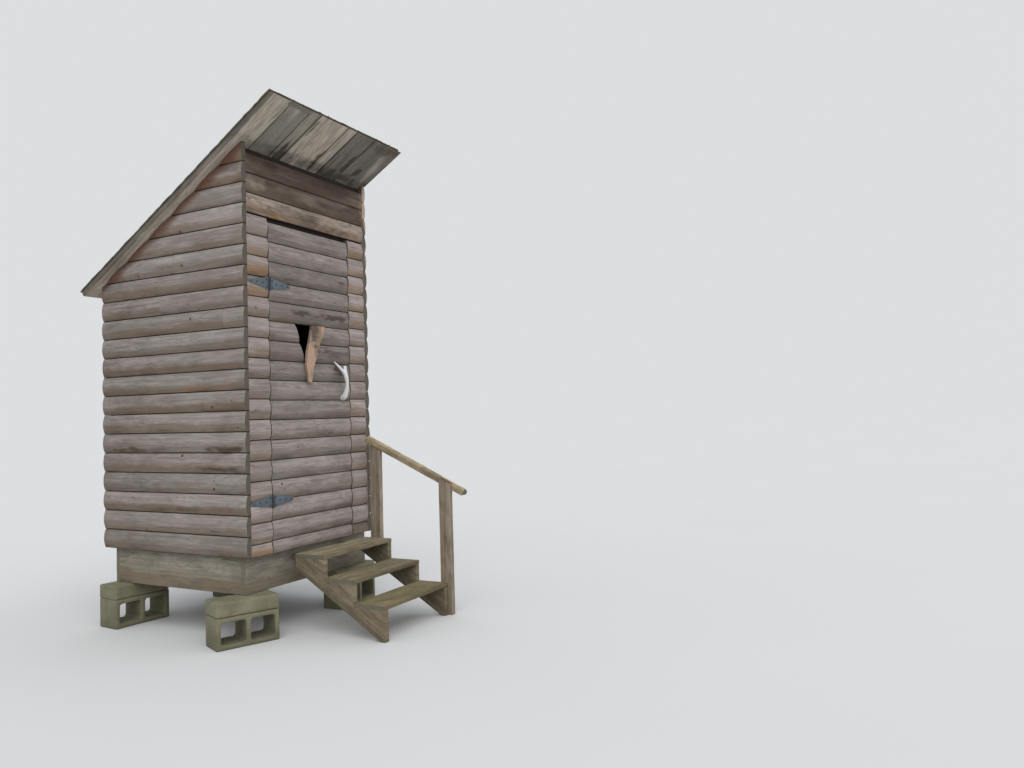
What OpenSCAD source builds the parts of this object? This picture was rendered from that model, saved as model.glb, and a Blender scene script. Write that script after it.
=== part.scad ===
// Small log-sided outhouse on concrete block piers, with a single-pitch plank roof,
// an outward-opening log door, three open steps and a slab handrail.
// Frame: origin on the ground under the middle of the whole footprint,
// +X to the right along the front, +Y towards the back, +Z up. Millimetres.

/* [Walls] */
// Width over the rounded faces of the side logs
body_w = 1240; // [1100:10:1500]
// Depth of the side logs, front end to back end
body_d = 1342; // [1200:10:1600]
// Height of the front wall over the doorway, up to the roof planks
header_h = 439; // [400:1:520]
// Number of log courses over the doorway, under the open slot below the roof
header_n = 3; // [2:1:3]
// Height of one course over the doorway
header_course_h = 126.5; // [110:0.1:150]
// Height of one log course
course_h = 130.2; // [110:0.1:150]
// Thickness of a log at its rounded belly
log_t = 38; // [30:1:50]
// How far the belly stands out beyond the joint between two courses
log_belly = 14; // [6:1:18]
// Height of the ripped lowest course on the front
front_first_h = 83; // [60:1:120]

/* [Base] */
// Height of the rim boards under the walls
skirt_h = 235; // [180:5:290]
// Thickness of the rim boards and joists
skirt_t = 38; // [30:1:50]
// Set-back of the rim from the left face
skirt_in_left = 50; // [40:1:80]
// Set-back of the rim board behind the right face of the walls
skirt_in_right = 5; // [5:1:80]
// Set-back of the rim from the front face
skirt_in_front = 66; // [45:1:90]
// Set-back of the rim from the back face
skirt_in_back = 62; // [40:1:90]
// Thickness of the floor boards
deck_t = 19; // [15:1:30]

/* [Piers] */
// Length of a concrete block
block_l = 397; // [380:1:410]
// Width of a concrete block
block_w = 194; // [180:1:200]
// Height of a hollow block lying on its side
block_h = 194; // [180:1:200]
// Thickness of the shell of a hollow block
block_shell = 32; // [25:1:38]
// Thickness of the webs at the ends and middle of a hollow block
block_web = 30; // [25:1:38]
// Height of the solid block on top
cap_h = 92; // [60:1:120]

/* [Frame] */
// Thickness of a framing timber
stud_t = 38; // [30:1:45]
// Depth of a framing timber
stud_d = 89; // [70:1:100]
// Depth of the purlin in the middle of the roof
purlin_h = 140; // [100:5:184]

/* [Roof] */
// Pitch of the roof, in degrees, falling to the back
roof_pitch = 30.6; // [25:0.1:36]
// Thickness of a roof plank
plank_t = 38; // [25:1:45]
// Open joint between two planks
plank_gap = 4; // [2:1:8]
// Thickness of the roll covering
cover_t = 6; // [4:1:12]
// How far the covering hangs over the planks' edges
cover_lap = 8; // [4:1:15]
// Overhang of the planks beyond the left wall
roof_left = 62; // [40:1:90]
// Overhang of the planks beyond the right wall
roof_right = 6; // [5:1:60]
// Overhang beyond the front face, measured level
roof_front = 342; // [200:1:400]
// Overhang beyond the back face, measured level
roof_back = 105; // [60:1:250]

/* [Door] */
// Hinge line, measured from the left face
hinge_x = 225; // [190:1:260]
// Width of the front wall right of the doorway, from the right face
latch_strip = 213; // [190:1:260]
// Height of the door leaf
door_h = 2138; // [2000:1:2200]
// Height of the ripped lowest course on the door
door_first_h = 78; // [60:1:120]
// Height of one course on the door, nailed up a little tighter than on the walls
door_course_h = 128.4; // [110:0.1:150]
// Gap at the hinge edge, on each side of the hinge line
hinge_gap = 3; // [2:0.5:6]
// Gap at the latch edge
latch_gap = 8; // [6:1:12]
// Gap over the door
head_gap = 24; // [8:1:30]
// Width of a batten on the door's back
batten_w = 140; // [90:1:184]
// Thickness of a batten
batten_t = 19; // [15:1:30]
// Set-back of a batten from the edge of the leaf
batten_in = 70; // [60:1:100]
// Section of the door stop
stop_t = 19; // [15:1:25]
// Depth of the door stop behind the leaf
stop_d = 38; // [25:1:45]
// Clearance between the leaf and its stop
stop_clear = 5; // [5:0.5:8]

/* [Vent and handle] */
// Width of the vent at its top edge
vent_w = 276; // [150:1:300]
// Height of the vent, top edge to point
vent_h = 324; // [200:1:360]
// Left end of the vent's top edge, from the left face
vent_x = 463; // [430:1:500]
// Number of whole courses between the ripped one and the vent's top edge
vent_n = 11; // [9:1:13]
// Left end of the slab's top edge, from the left face
slab_x = 600; // [560:1:640]
// Width of the slab at its top edge
slab_w = 127; // [100:1:160]
// Height of the slab, top edge to point
slab_h = 395; // [300:1:420]
// Thickness of the slab
slab_t = 26; // [15:1:35]
// Height of the antler's foot above the foot of the door
antler_z = 987; // [900:1:1100]
// Height of the antler, foot to tip
antler_h = 261; // [200:1:300]
// Thickness of the antler's beam
antler_d = 25; // [20:1:36]
// How far the middle of the beam bows out from the door
antler_out = 52; // [44:1:80]
// Set-back of the antler's foot from the latch edge of the door
antler_in = 85; // [60:1:120]

/* [Hinges] */
// Length of one leaf, hinge line to tip
strap_l = 184; // [150:1:187]
// Height of a leaf beside the knuckle
strap_h = 80; // [60:1:90]
// Height of a leaf at its tip
strap_tip_h = 22; // [14:1:40]
// Thickness of a leaf
strap_t = 3; // [2:0.5:4]
// Diameter of the knuckle
knuckle_d = 13; // [11:0.5:15]
// Diameter of the pin
pin_d = 6; // [5:0.5:7]
// Running clearance between pin and knuckle, and between knuckles
pin_clear = 0.4; // [0.3:0.1:0.6]
// Height of the lower hinge above the foot of the door
hinge_z_low = 331; // [250:1:450]
// Height of the upper hinge above the foot of the door
hinge_z_high = 1728; // [1600:1:1850]

/* [Steps] */
// Left end of the treads, from the left face
step_x = 358; // [320:1:380]
// Length of a tread
tread_l = 723; // [660:1:760]
// Width of a tread, front edge to back edge
tread_w = 235; // [225:1:260]
// Thickness of a tread
tread_t = 26; // [20:1:38]
// Number of treads
tread_n = 3; // [2:1:3]
// Rise from one tread to the next
step_rise = 140; // [120:1:160]
// Run from one tread to the next
step_run = 234; // [220:1:240]
// Top of the top tread, below the foot of the door
sill_drop = 21; // [15:1:60]
// Front edge of the top tread, in front of the wall
top_tread_y = 293; // [260:1:330]
// Thickness of a stringer
stringer_t = 38; // [30:1:45]
// Wood left under the inner corners of a stringer, measured plumb
stringer_throat = 74; // [60:1:90]
// How far a tie to the rim reaches under the top tread
tie_lap = 120; // [60:5:180]
// Gap between a stringer and the tie beside it
tie_in = 58; // [5:1:90]

/* [Handrail] */
// Fall of the rail, as rise over run
rail_fall = 0.46; // [0.3:0.01:0.6]
// Width of the half-round rail
rail_w = 72; // [50:1:90]
// Thickness of the rail at its crown
rail_t = 45; // [35:1:60]
// Height of the rail's underside at its upper end, above the ground
rail_high = 1192; // [1100:1:1300]
// Upper end of the rail, in front of the wall
rail_y_top = 55; // [40:1:180]
// Lower end of the rail, in front of the wall
rail_y_low = 872; // [850:1:990]
// Front face of the front rail post, in front of the wall
front_post_y = 792; // [762:1:800]
// Front face of the rear rail post, in front of the wall
rear_post_y = 200; // [195:1:240]
// Foot of the rear post, above the ground
rear_post_z = 345; // [310:1:400]

/* [Hidden] */

$fn = 64;

// Flush faces of two nodes stand this far apart
seat = 0.02;

// Heights
front_h = door_h + head_gap + header_h;
skirt_z = block_h + cap_h;
foot_z = skirt_z + skirt_h;
skirt_w = body_w - skirt_in_left - skirt_in_right;
deck_z = foot_z + deck_t;
door_head_z = foot_z + door_h + head_gap;

// Doorway
door_w = body_w - hinge_x - hinge_gap - latch_gap - latch_strip;
leaf_x = hinge_x + hinge_gap;
leaf_x2 = leaf_x + door_w;
vent_z = door_first_h + vent_n * door_course_h;
jamb_x = hinge_x - hinge_gap;
jamb_x2 = leaf_x2 + latch_gap;

// Roof
roof_tan = tan(roof_pitch);
roof_z0 = foot_z + front_h;
roof_y0 = -roof_front;
roof_y1 = body_d + roof_back;
roof_w = body_w + roof_left + roof_right;
plank_at = [0, 0.124, 0.258, 0.326, 0.537, 0.609, 0.757, 1];
plank_n = len(plank_at) - 1;
function plank_edge(k) = -roof_left + plank_at[k] * roof_w;
plate_h = stud_d;
front_plate_z = roof_z0 - roof_tan * (log_t + stud_d) - plate_h;
back_plate_z = roof_z0 - roof_tan * (body_d - log_t) - plate_h;
mid_y = body_d / 2;
purlin_z = roof_z0 - roof_tan * (mid_y + stud_t / 2) - purlin_h;

// Steps
tread_top_z = foot_z - sill_drop;
stringer_x2 = step_x + tread_l;
stringer_tan = step_rise / step_run;

// Handrail
post_x = stringer_x2;
rail_x = post_x + stud_t / 2 + rail_w / 2 - 3;
rail_angle = atan(rail_fall);

// Piers: centre and turn of each
pier_in = 132;
pier_fl = [34, 80, -22.6];
pier_fr = [body_w - pier_in, pier_in - 20, 6];
pier_bl = [pier_in, body_d - pier_in - 10, -5];
pier_br = [body_w - pier_in - 14, body_d - pier_in, 4];

// The frame's origin lies under the middle of the whole footprint
pier_reach_x = block_l / 2 * cos(pier_fl[2]) + block_w / 2 * abs(sin(pier_fl[2]));
pier_end_x = block_l / 2 * cos(pier_fr[2]) + block_w / 2 * abs(sin(pier_fr[2]));
site_x = (pier_fl[0] - pier_reach_x + pier_fr[0] + pier_end_x) / 2;
back_y = roof_y1 + cover_lap * cos(roof_pitch) + (plank_t + cover_t) * sin(roof_pitch);
site_y = (back_y - rail_y_low - rail_t * sin(rail_angle)) / 2;

// Colours
wood_grey = [0.58, 0.55, 0.52];
wood_brown = [0.42, 0.36, 0.30];
wood_green = [0.43, 0.41, 0.30];
wood_fresh = [0.66, 0.52, 0.40];
concrete = [0.50, 0.50, 0.43];
iron = [0.22, 0.26, 0.30];

module site() {
    translate([-site_x, -site_y, 0]) children();
}

function under_roof_z(y) = roof_z0 - roof_tan * y;

// Everything below the underside of the roof planks
module below_roof() {
    far = 1000;
    translate([-far, 0, 0]) rotate([90, 0, 90]) linear_extrude(body_w + 2 * far)
        polygon([[-far, -1], [body_d + far, -1], [body_d + far, under_roof_z(body_d + far) - 2 * seat],
            [-far, under_roof_z(-far) - 2 * seat]]);
}

// Stacked log courses in profile: flat inner face on x = 0, bellies towards +x.
// A log's rounded face is an arc through the belly and both joints.
module log_profile(first, total, course) {
    count = ceil((total - first) / course) + 1;
    log_r = (pow(course / 2, 2) + pow(log_belly, 2)) / (2 * log_belly);
    for (i = [0 : count - 1]) {
        top = min(first + i * course, total);
        bottom = i == 0 ? 0 : first + (i - 1) * course;
        crown = first + (i - 0.5) * course;
        if (top - bottom > 1)
            intersection() {
                translate([0, bottom]) square([log_t, top - bottom]);
                translate([log_t - log_r, crown]) circle(log_r, $fn = 180);
            }
    }
}

// A run of logs facing -Y between two x positions
module front_logs(x0, x1, first, total, course = course_h) {
    translate([x0, log_t, 0]) mirror([0, 1, 0]) rotate([90, 0, 90])
        linear_extrude(x1 - x0) log_profile(first, total, course);
}

// A run of logs facing -X over the whole depth
module side_logs(total) {
    translate([log_t, body_d, 0]) mirror([1, 0, 0]) rotate([90, 0, 0])
        linear_extrude(body_d) log_profile(course_h, total, course_h);
}

// Parts of the piers
module at_pier(place) {
    site() translate([place[0], place[1], 0]) rotate([0, 0, place[2]]) children();
}

module pier_block(place) {
    core_l = (block_l - 3 * block_web) / 2;
    core_h = block_h - 2 * block_shell;
    r = 18;
    color(concrete) at_pier(place) difference() {
        translate([-block_l / 2, -block_w / 2, 0]) cube([block_l, block_w, block_h]);
        for (side = [-1, 1])
            translate([side * (core_l + block_web) / 2, block_w, block_h / 2])
                rotate([90, 0, 0]) linear_extrude(2 * block_w) {
                    square([core_l - 2 * r, core_h], center = true);
                    square([core_l, core_h - 2 * r], center = true);
                    for (sx = [-1, 1], sy = [-1, 1])
                        translate([sx * (core_l / 2 - r), sy * (core_h / 2 - r)]) circle(r);
                }
    }
}

module pier_cap(place) {
    color(concrete) at_pier(place)
        translate([-block_l / 2, -block_w / 2, block_h]) cube([block_l, block_w, cap_h]);
}

// Base
module skirt_front() {
    color(wood_grey) site() translate([skirt_in_left, skirt_in_front, skirt_z])
        cube([skirt_w, skirt_t, skirt_h]);
}

module skirt_back() {
    color(wood_grey) site() translate([skirt_in_left, body_d - skirt_in_back - skirt_t, skirt_z])
        cube([skirt_w, skirt_t, skirt_h]);
}

module skirt_side(x) {
    color(wood_grey) site() translate([x, skirt_in_front + skirt_t, skirt_z])
        cube([skirt_t, body_d - skirt_in_front - skirt_in_back - 2 * skirt_t, skirt_h]);
}

module skirt_left() {
    skirt_side(skirt_in_left);
}

module skirt_right() {
    skirt_side(body_w - skirt_in_right - skirt_t);
}

module floor_joists() {
    color(wood_brown) site()
        for (k = [1, 2])
            translate([skirt_in_left + k * skirt_w / 3 - skirt_t / 2,
                skirt_in_front + skirt_t, skirt_z])
                cube([skirt_t, body_d - skirt_in_front - skirt_in_back - 2 * skirt_t, skirt_h]);
}

module floor_deck() {
    color(wood_brown) site() translate([log_t, log_t + stop_clear, foot_z])
        cube([body_w - 2 * log_t, body_d - 2 * log_t - stop_clear, deck_t]);
}

// Walls
module side_wall() {
    intersection() {
        translate([0, 0, foot_z]) side_logs(front_h + course_h);
        below_roof();
    }
}

module left_wall() {
    color(wood_grey) site() side_wall();
}

module right_wall() {
    color(wood_grey) site() translate([body_w, 0, 0]) mirror([1, 0, 0]) side_wall();
}

module back_wall() {
    color(wood_grey) site() intersection() {
        translate([0, body_d, foot_z]) mirror([0, 1, 0])
            front_logs(log_t, body_w - log_t, course_h, front_h);
        below_roof();
    }
}

module front_wall_left() {
    color(wood_grey) site() translate([0, 0, foot_z])
        front_logs(log_t, jamb_x, front_first_h, door_h + head_gap);
}

module front_wall_right() {
    color(wood_grey) site() translate([0, 0, foot_z])
        front_logs(jamb_x2, body_w - log_t, front_first_h, door_h + head_gap);
}

module front_wall_header() {
    color(wood_brown) site() intersection() {
        translate([0, 0, door_head_z])
            front_logs(log_t, body_w - log_t, header_course_h, header_n * header_course_h, header_course_h);
        below_roof();
    }
}

// Frame
module corner_posts() {
    color(wood_brown) site() {
        for (x = [log_t, body_w - log_t - stud_d]) {
            translate([x, log_t + stop_clear, deck_z])
                cube([stud_d, stud_d - stop_clear, front_plate_z - deck_z]);
            translate([x, body_d - log_t - stud_d, deck_z])
                cube([stud_d, stud_d, back_plate_z - deck_z]);
        }
    }
}

module side_studs() {
    color(wood_brown) site()
        for (x = [log_t, body_w - log_t - stud_d])
            translate([x, mid_y - stud_t / 2, deck_z]) cube([stud_d, stud_t, purlin_z - deck_z]);
}

module door_posts() {
    color(wood_brown) site()
        for (x = [jamb_x - stud_t, jamb_x2])
            translate([x, log_t, deck_z]) cube([stud_t, stud_d, door_head_z - deck_z]);
}

module door_lintel() {
    color(wood_brown) site() translate([jamb_x - stud_t, log_t, door_head_z])
        cube([jamb_x2 - jamb_x + 2 * stud_t, stud_t, stud_d]);
}

module door_stop() {
    y = log_t + stop_clear;
    color(wood_brown) site() difference() {
        translate([jamb_x, y, deck_z]) cube([jamb_x2 - jamb_x, stop_d, door_head_z - deck_z]);
        translate([jamb_x + stop_t, y - 1, deck_z - 1])
            cube([jamb_x2 - jamb_x - 2 * stop_t, stop_d + 2, door_head_z - deck_z - 2 * stop_t + 1]);
    }
}

module front_top_plate() {
    color(wood_brown) site() intersection() {
        translate([log_t, log_t, front_plate_z]) cube([body_w - 2 * log_t, stud_d, 3 * plate_h]);
        below_roof();
    }
}

module back_top_plate() {
    color(wood_brown) site() intersection() {
        translate([log_t, body_d - log_t - stud_d, back_plate_z])
            cube([body_w - 2 * log_t, stud_d, 3 * plate_h]);
        below_roof();
    }
}

module roof_purlin() {
    color(wood_brown) site() intersection() {
        translate([log_t, mid_y - stud_t / 2, purlin_z]) cube([body_w - 2 * log_t, stud_t, 2 * purlin_h]);
        below_roof();
    }
}

// Roof, with ends cut square to the slope
module roof_sheet(y0, y1, low, high) {
    function off_slope(y, t) = [y + t * sin(roof_pitch), under_roof_z(y) + t * cos(roof_pitch)];
    polygon([off_slope(y0, low), off_slope(y1, low), off_slope(y1, high), off_slope(y0, high)]);
}

module roof_planks() {
    color(wood_grey) site()
        for (k = [1 : plank_n]) {
            x0 = plank_edge(k - 1) + (k == 1 ? 0 : plank_gap / 2);
            x1 = plank_edge(k) - (k == plank_n ? 0 : plank_gap / 2);
            translate([x0, 0, 0]) rotate([90, 0, 90])
                linear_extrude(x1 - x0) roof_sheet(roof_y0, roof_y1, 0, plank_t);
        }
}

module roof_covering() {
    color([0.30, 0.31, 0.28]) site() translate([-roof_left - cover_lap, 0, 0]) rotate([90, 0, 90])
        linear_extrude(roof_w + 2 * cover_lap)
            roof_sheet(roof_y0 - cover_lap * cos(roof_pitch), roof_y1 + cover_lap * cos(roof_pitch),
                plank_t + seat, plank_t + cover_t);
}

// Door
module door_logs() {
    translate([0, 0, foot_z]) front_logs(leaf_x, leaf_x2, door_first_h, door_h, door_course_h);
}

module door_leaf() {
    color(wood_grey) site() difference() {
        door_logs();
        translate([0, 2 * log_t, foot_z + vent_z]) rotate([90, 0, 0]) linear_extrude(3 * log_t)
            polygon([[vent_x, 0], [vent_x + vent_w, 0], [vent_x + 0.4 * vent_w, -vent_h]]);
    }
}

module door_batten(x) {
    color(wood_brown) site() translate([x, log_t, foot_z + batten_in])
        cube([batten_w, batten_t, door_h - 2 * batten_in]);
}

module door_batten_left() {
    door_batten(leaf_x + batten_in);
}

module door_batten_right() {
    door_batten(leaf_x2 - batten_in - batten_w);
}

module vent_slab() {
    color(wood_fresh) site() translate([slab_x, 0, foot_z + vent_z]) rotate([90, 0, 0])
        linear_extrude(slab_t) scale([slab_w, slab_h])
            polygon([[0, 0], [1, 0], [0.89, -0.155], [0.63, -0.3], [0.465, -0.47], [0.3, -0.58],
                [0.07, -0.75], [-0.04, -0.93], [-0.1, -1], [-0.33, -1], [-0.38, -0.84], [-0.47, -0.74],
                [-0.46, -0.61], [-0.38, -0.465], [-0.25, -0.33], [-0.12, -0.19]]);
}

// A tapered limb with round ends between two points
module limb(p, q, r1, r2) {
    hull() {
        translate(p) sphere(r1, $fn = 14);
        translate(q) sphere(r2, $fn = 14);
    }
}

module antler_handle() {
    antler_seat = 0.2;
    r = antler_d / 2;
    function at_beam(x, out, up) = [leaf_x2 - antler_in + x * antler_h, -out * antler_out, foot_z + antler_z + up * antler_h];
    foot = at_beam(0, 0.27, 0.04);
    low = at_beam(-0.019, 0.73, 0.19);
    waist = at_beam(-0.042, 1, 0.41);
    neck = at_beam(-0.077, 0.96, 0.605);
    fork = at_beam(-0.126, 0.81, 0.78);
    stub = at_beam(-0.057, 0.69, 0.88);
    tine = at_beam(-0.215, 0.65, 0.81);
    bend = at_beam(-0.352, 0.33, 0.96);
    tip = at_beam(-0.383, 0.2, 1);
    color([0.80, 0.80, 0.80]) site() difference() {
        union() {
            limb(foot, low, r * 1.8, r * 1.3);
            limb(low, waist, r * 1.3, r);
            limb(waist, neck, r, r * 1.3);
            limb(neck, fork, r * 1.3, r * 1.45);
            limb(fork, stub, r * 1.1, r * 0.95);
            limb(fork, tine, r * 1.2, r * 0.95);
            limb(tine, bend, r * 0.95, r * 0.5);
            limb(bend, tip, r * 0.5, r * 0.25);
            limb(fork, [fork[0], log_belly, fork[2]], r * 0.5, r * 0.5);
        }
        translate([0, -antler_seat, 0]) door_logs();
    }
}

// Hinges: leaves lie on the bellies, the knuckle stands in front of the gap
knuckle_y = -knuckle_d / 2 - 1.5;
strap_start = knuckle_d / 2 + 1.5;

module strap(direction) {
    scale([direction, 1, 1]) rotate([90, 0, 0]) linear_extrude(strap_t)
        polygon([[strap_start, -strap_h / 2], [strap_start + 12, -strap_h / 2], [strap_l, -strap_tip_h / 2],
            [strap_l, strap_tip_h / 2], [strap_start + 12, strap_h / 2], [strap_start, strap_h / 2]]);
}

module knuckle(z0, z1, direction) {
    translate([0, knuckle_y, z0]) cylinder(h = z1 - z0, d = knuckle_d);
    translate([direction > 0 ? 0 : -strap_start - 1, -strap_t, z0])
        cube([strap_start + 1, strap_t - 1, z1 - z0]);
}

module hinge_frame_leaf(z) {
    third = strap_h / 6;
    color(iron) site() translate([hinge_x, 0, foot_z + z]) {
        strap(-1);
        knuckle(-strap_h / 2, -third - pin_clear, -1);
        knuckle(third + pin_clear, strap_h / 2, -1);
        translate([0, knuckle_y, -strap_h / 2]) cylinder(h = strap_h, d = pin_d);
    }
}

module hinge_door_leaf(z) {
    third = strap_h / 6;
    color(iron) site() translate([hinge_x, 0, foot_z + z]) difference() {
        union() {
            strap(1);
            knuckle(-third, third, 1);
        }
        translate([0, knuckle_y, -third - 1]) cylinder(h = 2 * third + 2, d = pin_d + 2 * pin_clear);
    }
}

module upper_hinge_frame_leaf() {
    hinge_frame_leaf(hinge_z_high);
}

module upper_hinge_door_leaf() {
    hinge_door_leaf(hinge_z_high);
}

module lower_hinge_frame_leaf() {
    hinge_frame_leaf(hinge_z_low);
}

module lower_hinge_door_leaf() {
    hinge_door_leaf(hinge_z_low);
}

// Steps
function tread_z(k) = tread_top_z - k * step_rise;
function tread_y(k) = -top_tread_y - k * step_run;
function riser_y(k) = tread_y(k) + tread_w;

module tread(k) {
    color(wood_green) site() translate([step_x, tread_y(k), tread_z(k) - tread_t])
        cube([tread_l, tread_w, tread_t]);
}

module tread_top() {
    tread(0);
}

module tread_middle() {
    tread(1);
}

module tread_bottom() {
    tread(tread_n - 1);
}

module stringer(x) {
    front_y = tread_y(tread_n - 1);
    seats = [for (k = [0 : tread_n - 1]) each [
        [riser_y(k), tread_z(k) - tread_t],
        [k == tread_n - 1 ? front_y : riser_y(k + 1), tread_z(k) - tread_t]
    ]];
    throat_z = tread_z(1) - tread_t - stringer_throat;
    ground_y = tread_y(0) - throat_z / stringer_tan;
    color(wood_brown) site() translate([x, 0, 0]) rotate([90, 0, 90]) linear_extrude(stringer_t)
        polygon(concat(seats, [[front_y, 0], [ground_y, 0],
            [riser_y(0), throat_z + stringer_tan * tread_w]]));
}

module stringer_left() {
    stringer(step_x);
}

module stringer_right() {
    stringer(stringer_x2 - stringer_t);
}

// Two flat timbers hold the steps to the front rim
module stair_ties() {
    inside = stringer_t + tie_in;
    color(wood_brown) site()
        for (x = [step_x + inside, stringer_x2 - inside - stud_d])
            translate([x, riser_y(0) - tie_lap, tread_top_z - tread_t - stud_t])
                cube([stud_d, skirt_in_front - riser_y(0) + tie_lap, stud_t]);
}

// Handrail
function rail_under_z(y) = rail_high + rail_fall * (y + rail_y_top);

module front_rail_post() {
    y0 = -front_post_y;
    y1 = y0 + stud_d;
    top = rail_t / cos(rail_angle) - 4;
    color(wood_grey) site() translate([post_x, 0, 0]) rotate([90, 0, 90]) linear_extrude(stud_t)
        polygon([[y0, 0], [y1, 0], [y1, rail_under_z(y1) + top], [y0, rail_under_z(y0) + top]]);
}

module rear_rail_post() {
    y0 = -rear_post_y;
    y1 = y0 + stud_d;
    color(wood_grey) site() translate([post_x, 0, 0]) rotate([90, 0, 90]) linear_extrude(stud_t)
        polygon([[y0, rear_post_z], [y1, rear_post_z], [y1, rail_under_z(y1) - seat],
            [y0, rail_under_z(y0) - seat]]);
}

module handrail() {
    l = (rail_y_low - rail_y_top) / cos(rail_angle);
    r = (pow(rail_w / 2, 2) + pow(rail_t, 2)) / (2 * rail_t);
    color([0.58, 0.52, 0.36]) site() difference() {
        translate([rail_x, -rail_y_top, rail_high]) rotate([90 + rail_angle, 0, 0])
            linear_extrude(l) intersection() {
                translate([0, rail_t - r]) circle(r);
                translate([-rail_w, 0]) square([2 * rail_w, 2 * rail_t]);
            }
        translate([post_x - 10, -front_post_y, 0]) cube([stud_t + 10, stud_d, 2 * rail_high]);
    }
}

pier_block(pier_fl);  // pier_block_front_left
pier_block(pier_fr);  // pier_block_front_right
pier_block(pier_bl);  // pier_block_back_left
pier_block(pier_br);  // pier_block_back_right
pier_cap(pier_fl);  // pier_cap_front_left
pier_cap(pier_fr);  // pier_cap_front_right
pier_cap(pier_bl);  // pier_cap_back_left
pier_cap(pier_br);  // pier_cap_back_right
skirt_front();
skirt_back();
skirt_left();
skirt_right();
floor_joists();
floor_deck();
left_wall();
right_wall();
back_wall();
front_wall_left();
front_wall_right();
front_wall_header();
corner_posts();
side_studs();
door_posts();
door_lintel();
door_stop();
front_top_plate();
back_top_plate();
roof_purlin();
roof_planks();
roof_covering();
door_leaf();
door_batten_left();
door_batten_right();
vent_slab();
antler_handle();
upper_hinge_frame_leaf();
upper_hinge_door_leaf();
lower_hinge_frame_leaf();
lower_hinge_door_leaf();
tread_top();
tread_middle();
tread_bottom();
stringer_left();
stringer_right();
stair_ties();
front_rail_post();
rear_rail_post();
handrail();
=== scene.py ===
"""A weathered log-sided outhouse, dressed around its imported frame.

Every board, plank, block and fitting is worked on its own from the building's sizes, in metres, and
lies where the frame has its solid.
"""

import logging
import math
import random
from dataclasses import dataclass, fields
from enum import Enum
from typing import Any, Callable, Iterable, Optional, Sequence, Union

import bmesh
import bpy
from bmesh.types import BMEdge, BMesh, BMVert
from mathutils import Matrix, Vector, noise


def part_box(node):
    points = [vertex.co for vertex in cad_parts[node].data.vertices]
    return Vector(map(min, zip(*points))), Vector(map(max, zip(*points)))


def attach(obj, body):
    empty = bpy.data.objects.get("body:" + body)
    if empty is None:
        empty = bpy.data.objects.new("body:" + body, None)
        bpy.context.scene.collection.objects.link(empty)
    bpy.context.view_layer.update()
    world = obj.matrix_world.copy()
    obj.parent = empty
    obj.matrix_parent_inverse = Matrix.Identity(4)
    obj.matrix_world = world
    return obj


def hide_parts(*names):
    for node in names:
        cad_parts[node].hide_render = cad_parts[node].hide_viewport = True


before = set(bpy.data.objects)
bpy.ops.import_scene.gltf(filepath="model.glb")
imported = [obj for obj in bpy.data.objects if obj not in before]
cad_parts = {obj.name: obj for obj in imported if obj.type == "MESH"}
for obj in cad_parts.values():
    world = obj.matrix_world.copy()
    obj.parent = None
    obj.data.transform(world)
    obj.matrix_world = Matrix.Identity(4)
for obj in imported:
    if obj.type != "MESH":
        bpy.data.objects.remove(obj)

LOG = logging.getLogger("outhouse")
UP = Vector((0.0, 0.0, 1.0))
Point = tuple[float, float]
Triple = tuple[float, float, float]
Colour = tuple[int, int, int]
Mesh = bpy.types.Mesh
Object = bpy.types.Object
Material = bpy.types.Material
Node = bpy.types.Node
Socket = bpy.types.NodeSocket
Fed = Union[float, Sequence[float], Socket]


def linear(colour: Colour) -> tuple[float, ...]:
    """A screen colour of 0 to 255 as the opaque linear colour that a socket holds."""
    shades = (((c / 255 + 0.055) / 1.055) ** 2.4 if c > 10 else c / 3294 for c in colour)
    return (*shades, 1.0)


# Sizes


@dataclass(frozen=True)
class Plan:
    """The building's sizes, from the front left corner of the walls on the ground, in metres."""

    middle_x: float = 0.564509
    middle_y: float = 0.292739
    width: float = 1.240
    depth: float = 1.342
    foot: float = 0.521
    front_height: float = 2.601
    course: float = 0.1302
    log_thick: float = 0.038
    log_belly: float = 0.014
    front_first: float = 0.073
    door_first: float = 0.078
    door_course: float = 0.1284
    door_height: float = 2.138
    head_height: float = 2.162
    header_course: float = 0.1265
    jamb_left: float = 0.222
    jamb_right: float = 1.027
    leaf_left: float = 0.228
    leaf_right: float = 1.019
    hinge_x: float = 0.225
    hinge_out: float = 0.008
    stud: float = 0.038
    stud_depth: float = 0.089
    pitch: float = math.radians(30.6)
    plank_thick: float = 0.038
    plank_joints: tuple[float, ...] = (0.0, 0.124, 0.258, 0.326, 0.537, 0.609, 0.757, 1.0)
    plank_gaps: tuple[float, ...] = (0.0, 0.002, 0.003, 0.005, 0.002, 0.010, 0.005, 0.0)
    cover_thick: float = 0.006
    cover_lap: float = 0.008
    eave_left: float = 0.062
    eave_right: float = 0.006
    eave_front: float = 0.342
    eave_back: float = 0.105

    def at(self, x: float, y: float, z: float = 0.0) -> Vector:
        """A place on the plan as a place in the frame."""
        return Vector((x - self.middle_x, y - self.middle_y, z))

    def under_roof(self, y: float) -> float:
        """Height of the planks' underside over a place on the plan."""
        return self.foot + self.front_height - math.tan(self.pitch) * y


PLAN = Plan()
DOWNHILL = Vector((0.0, math.cos(PLAN.pitch), -math.sin(PLAN.pitch)))
OFF_ROOF = Vector((0.0, math.sin(PLAN.pitch), math.cos(PLAN.pitch)))


class Facing(Enum):
    """The side that a wall shows, by the direction that runs into the building."""

    FRONT = (0.0, 1.0)
    LEFT = (1.0, 0.0)
    BACK = (0.0, -1.0)
    RIGHT = (-1.0, 0.0)

    @property
    def inward(self) -> Vector:
        """The direction into the building."""
        return Vector((*self.value, 0.0))

    @property
    def run(self) -> Vector:
        """The direction to the right along the wall, as seen from outside."""
        return self.inward.cross(UP)

    def place(self, corner: Vector) -> Matrix:
        """Where a board of length +X, depth +Y and height +Z goes, by its lower left front corner."""
        return frame_of(corner, self.run, self.inward)


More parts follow.
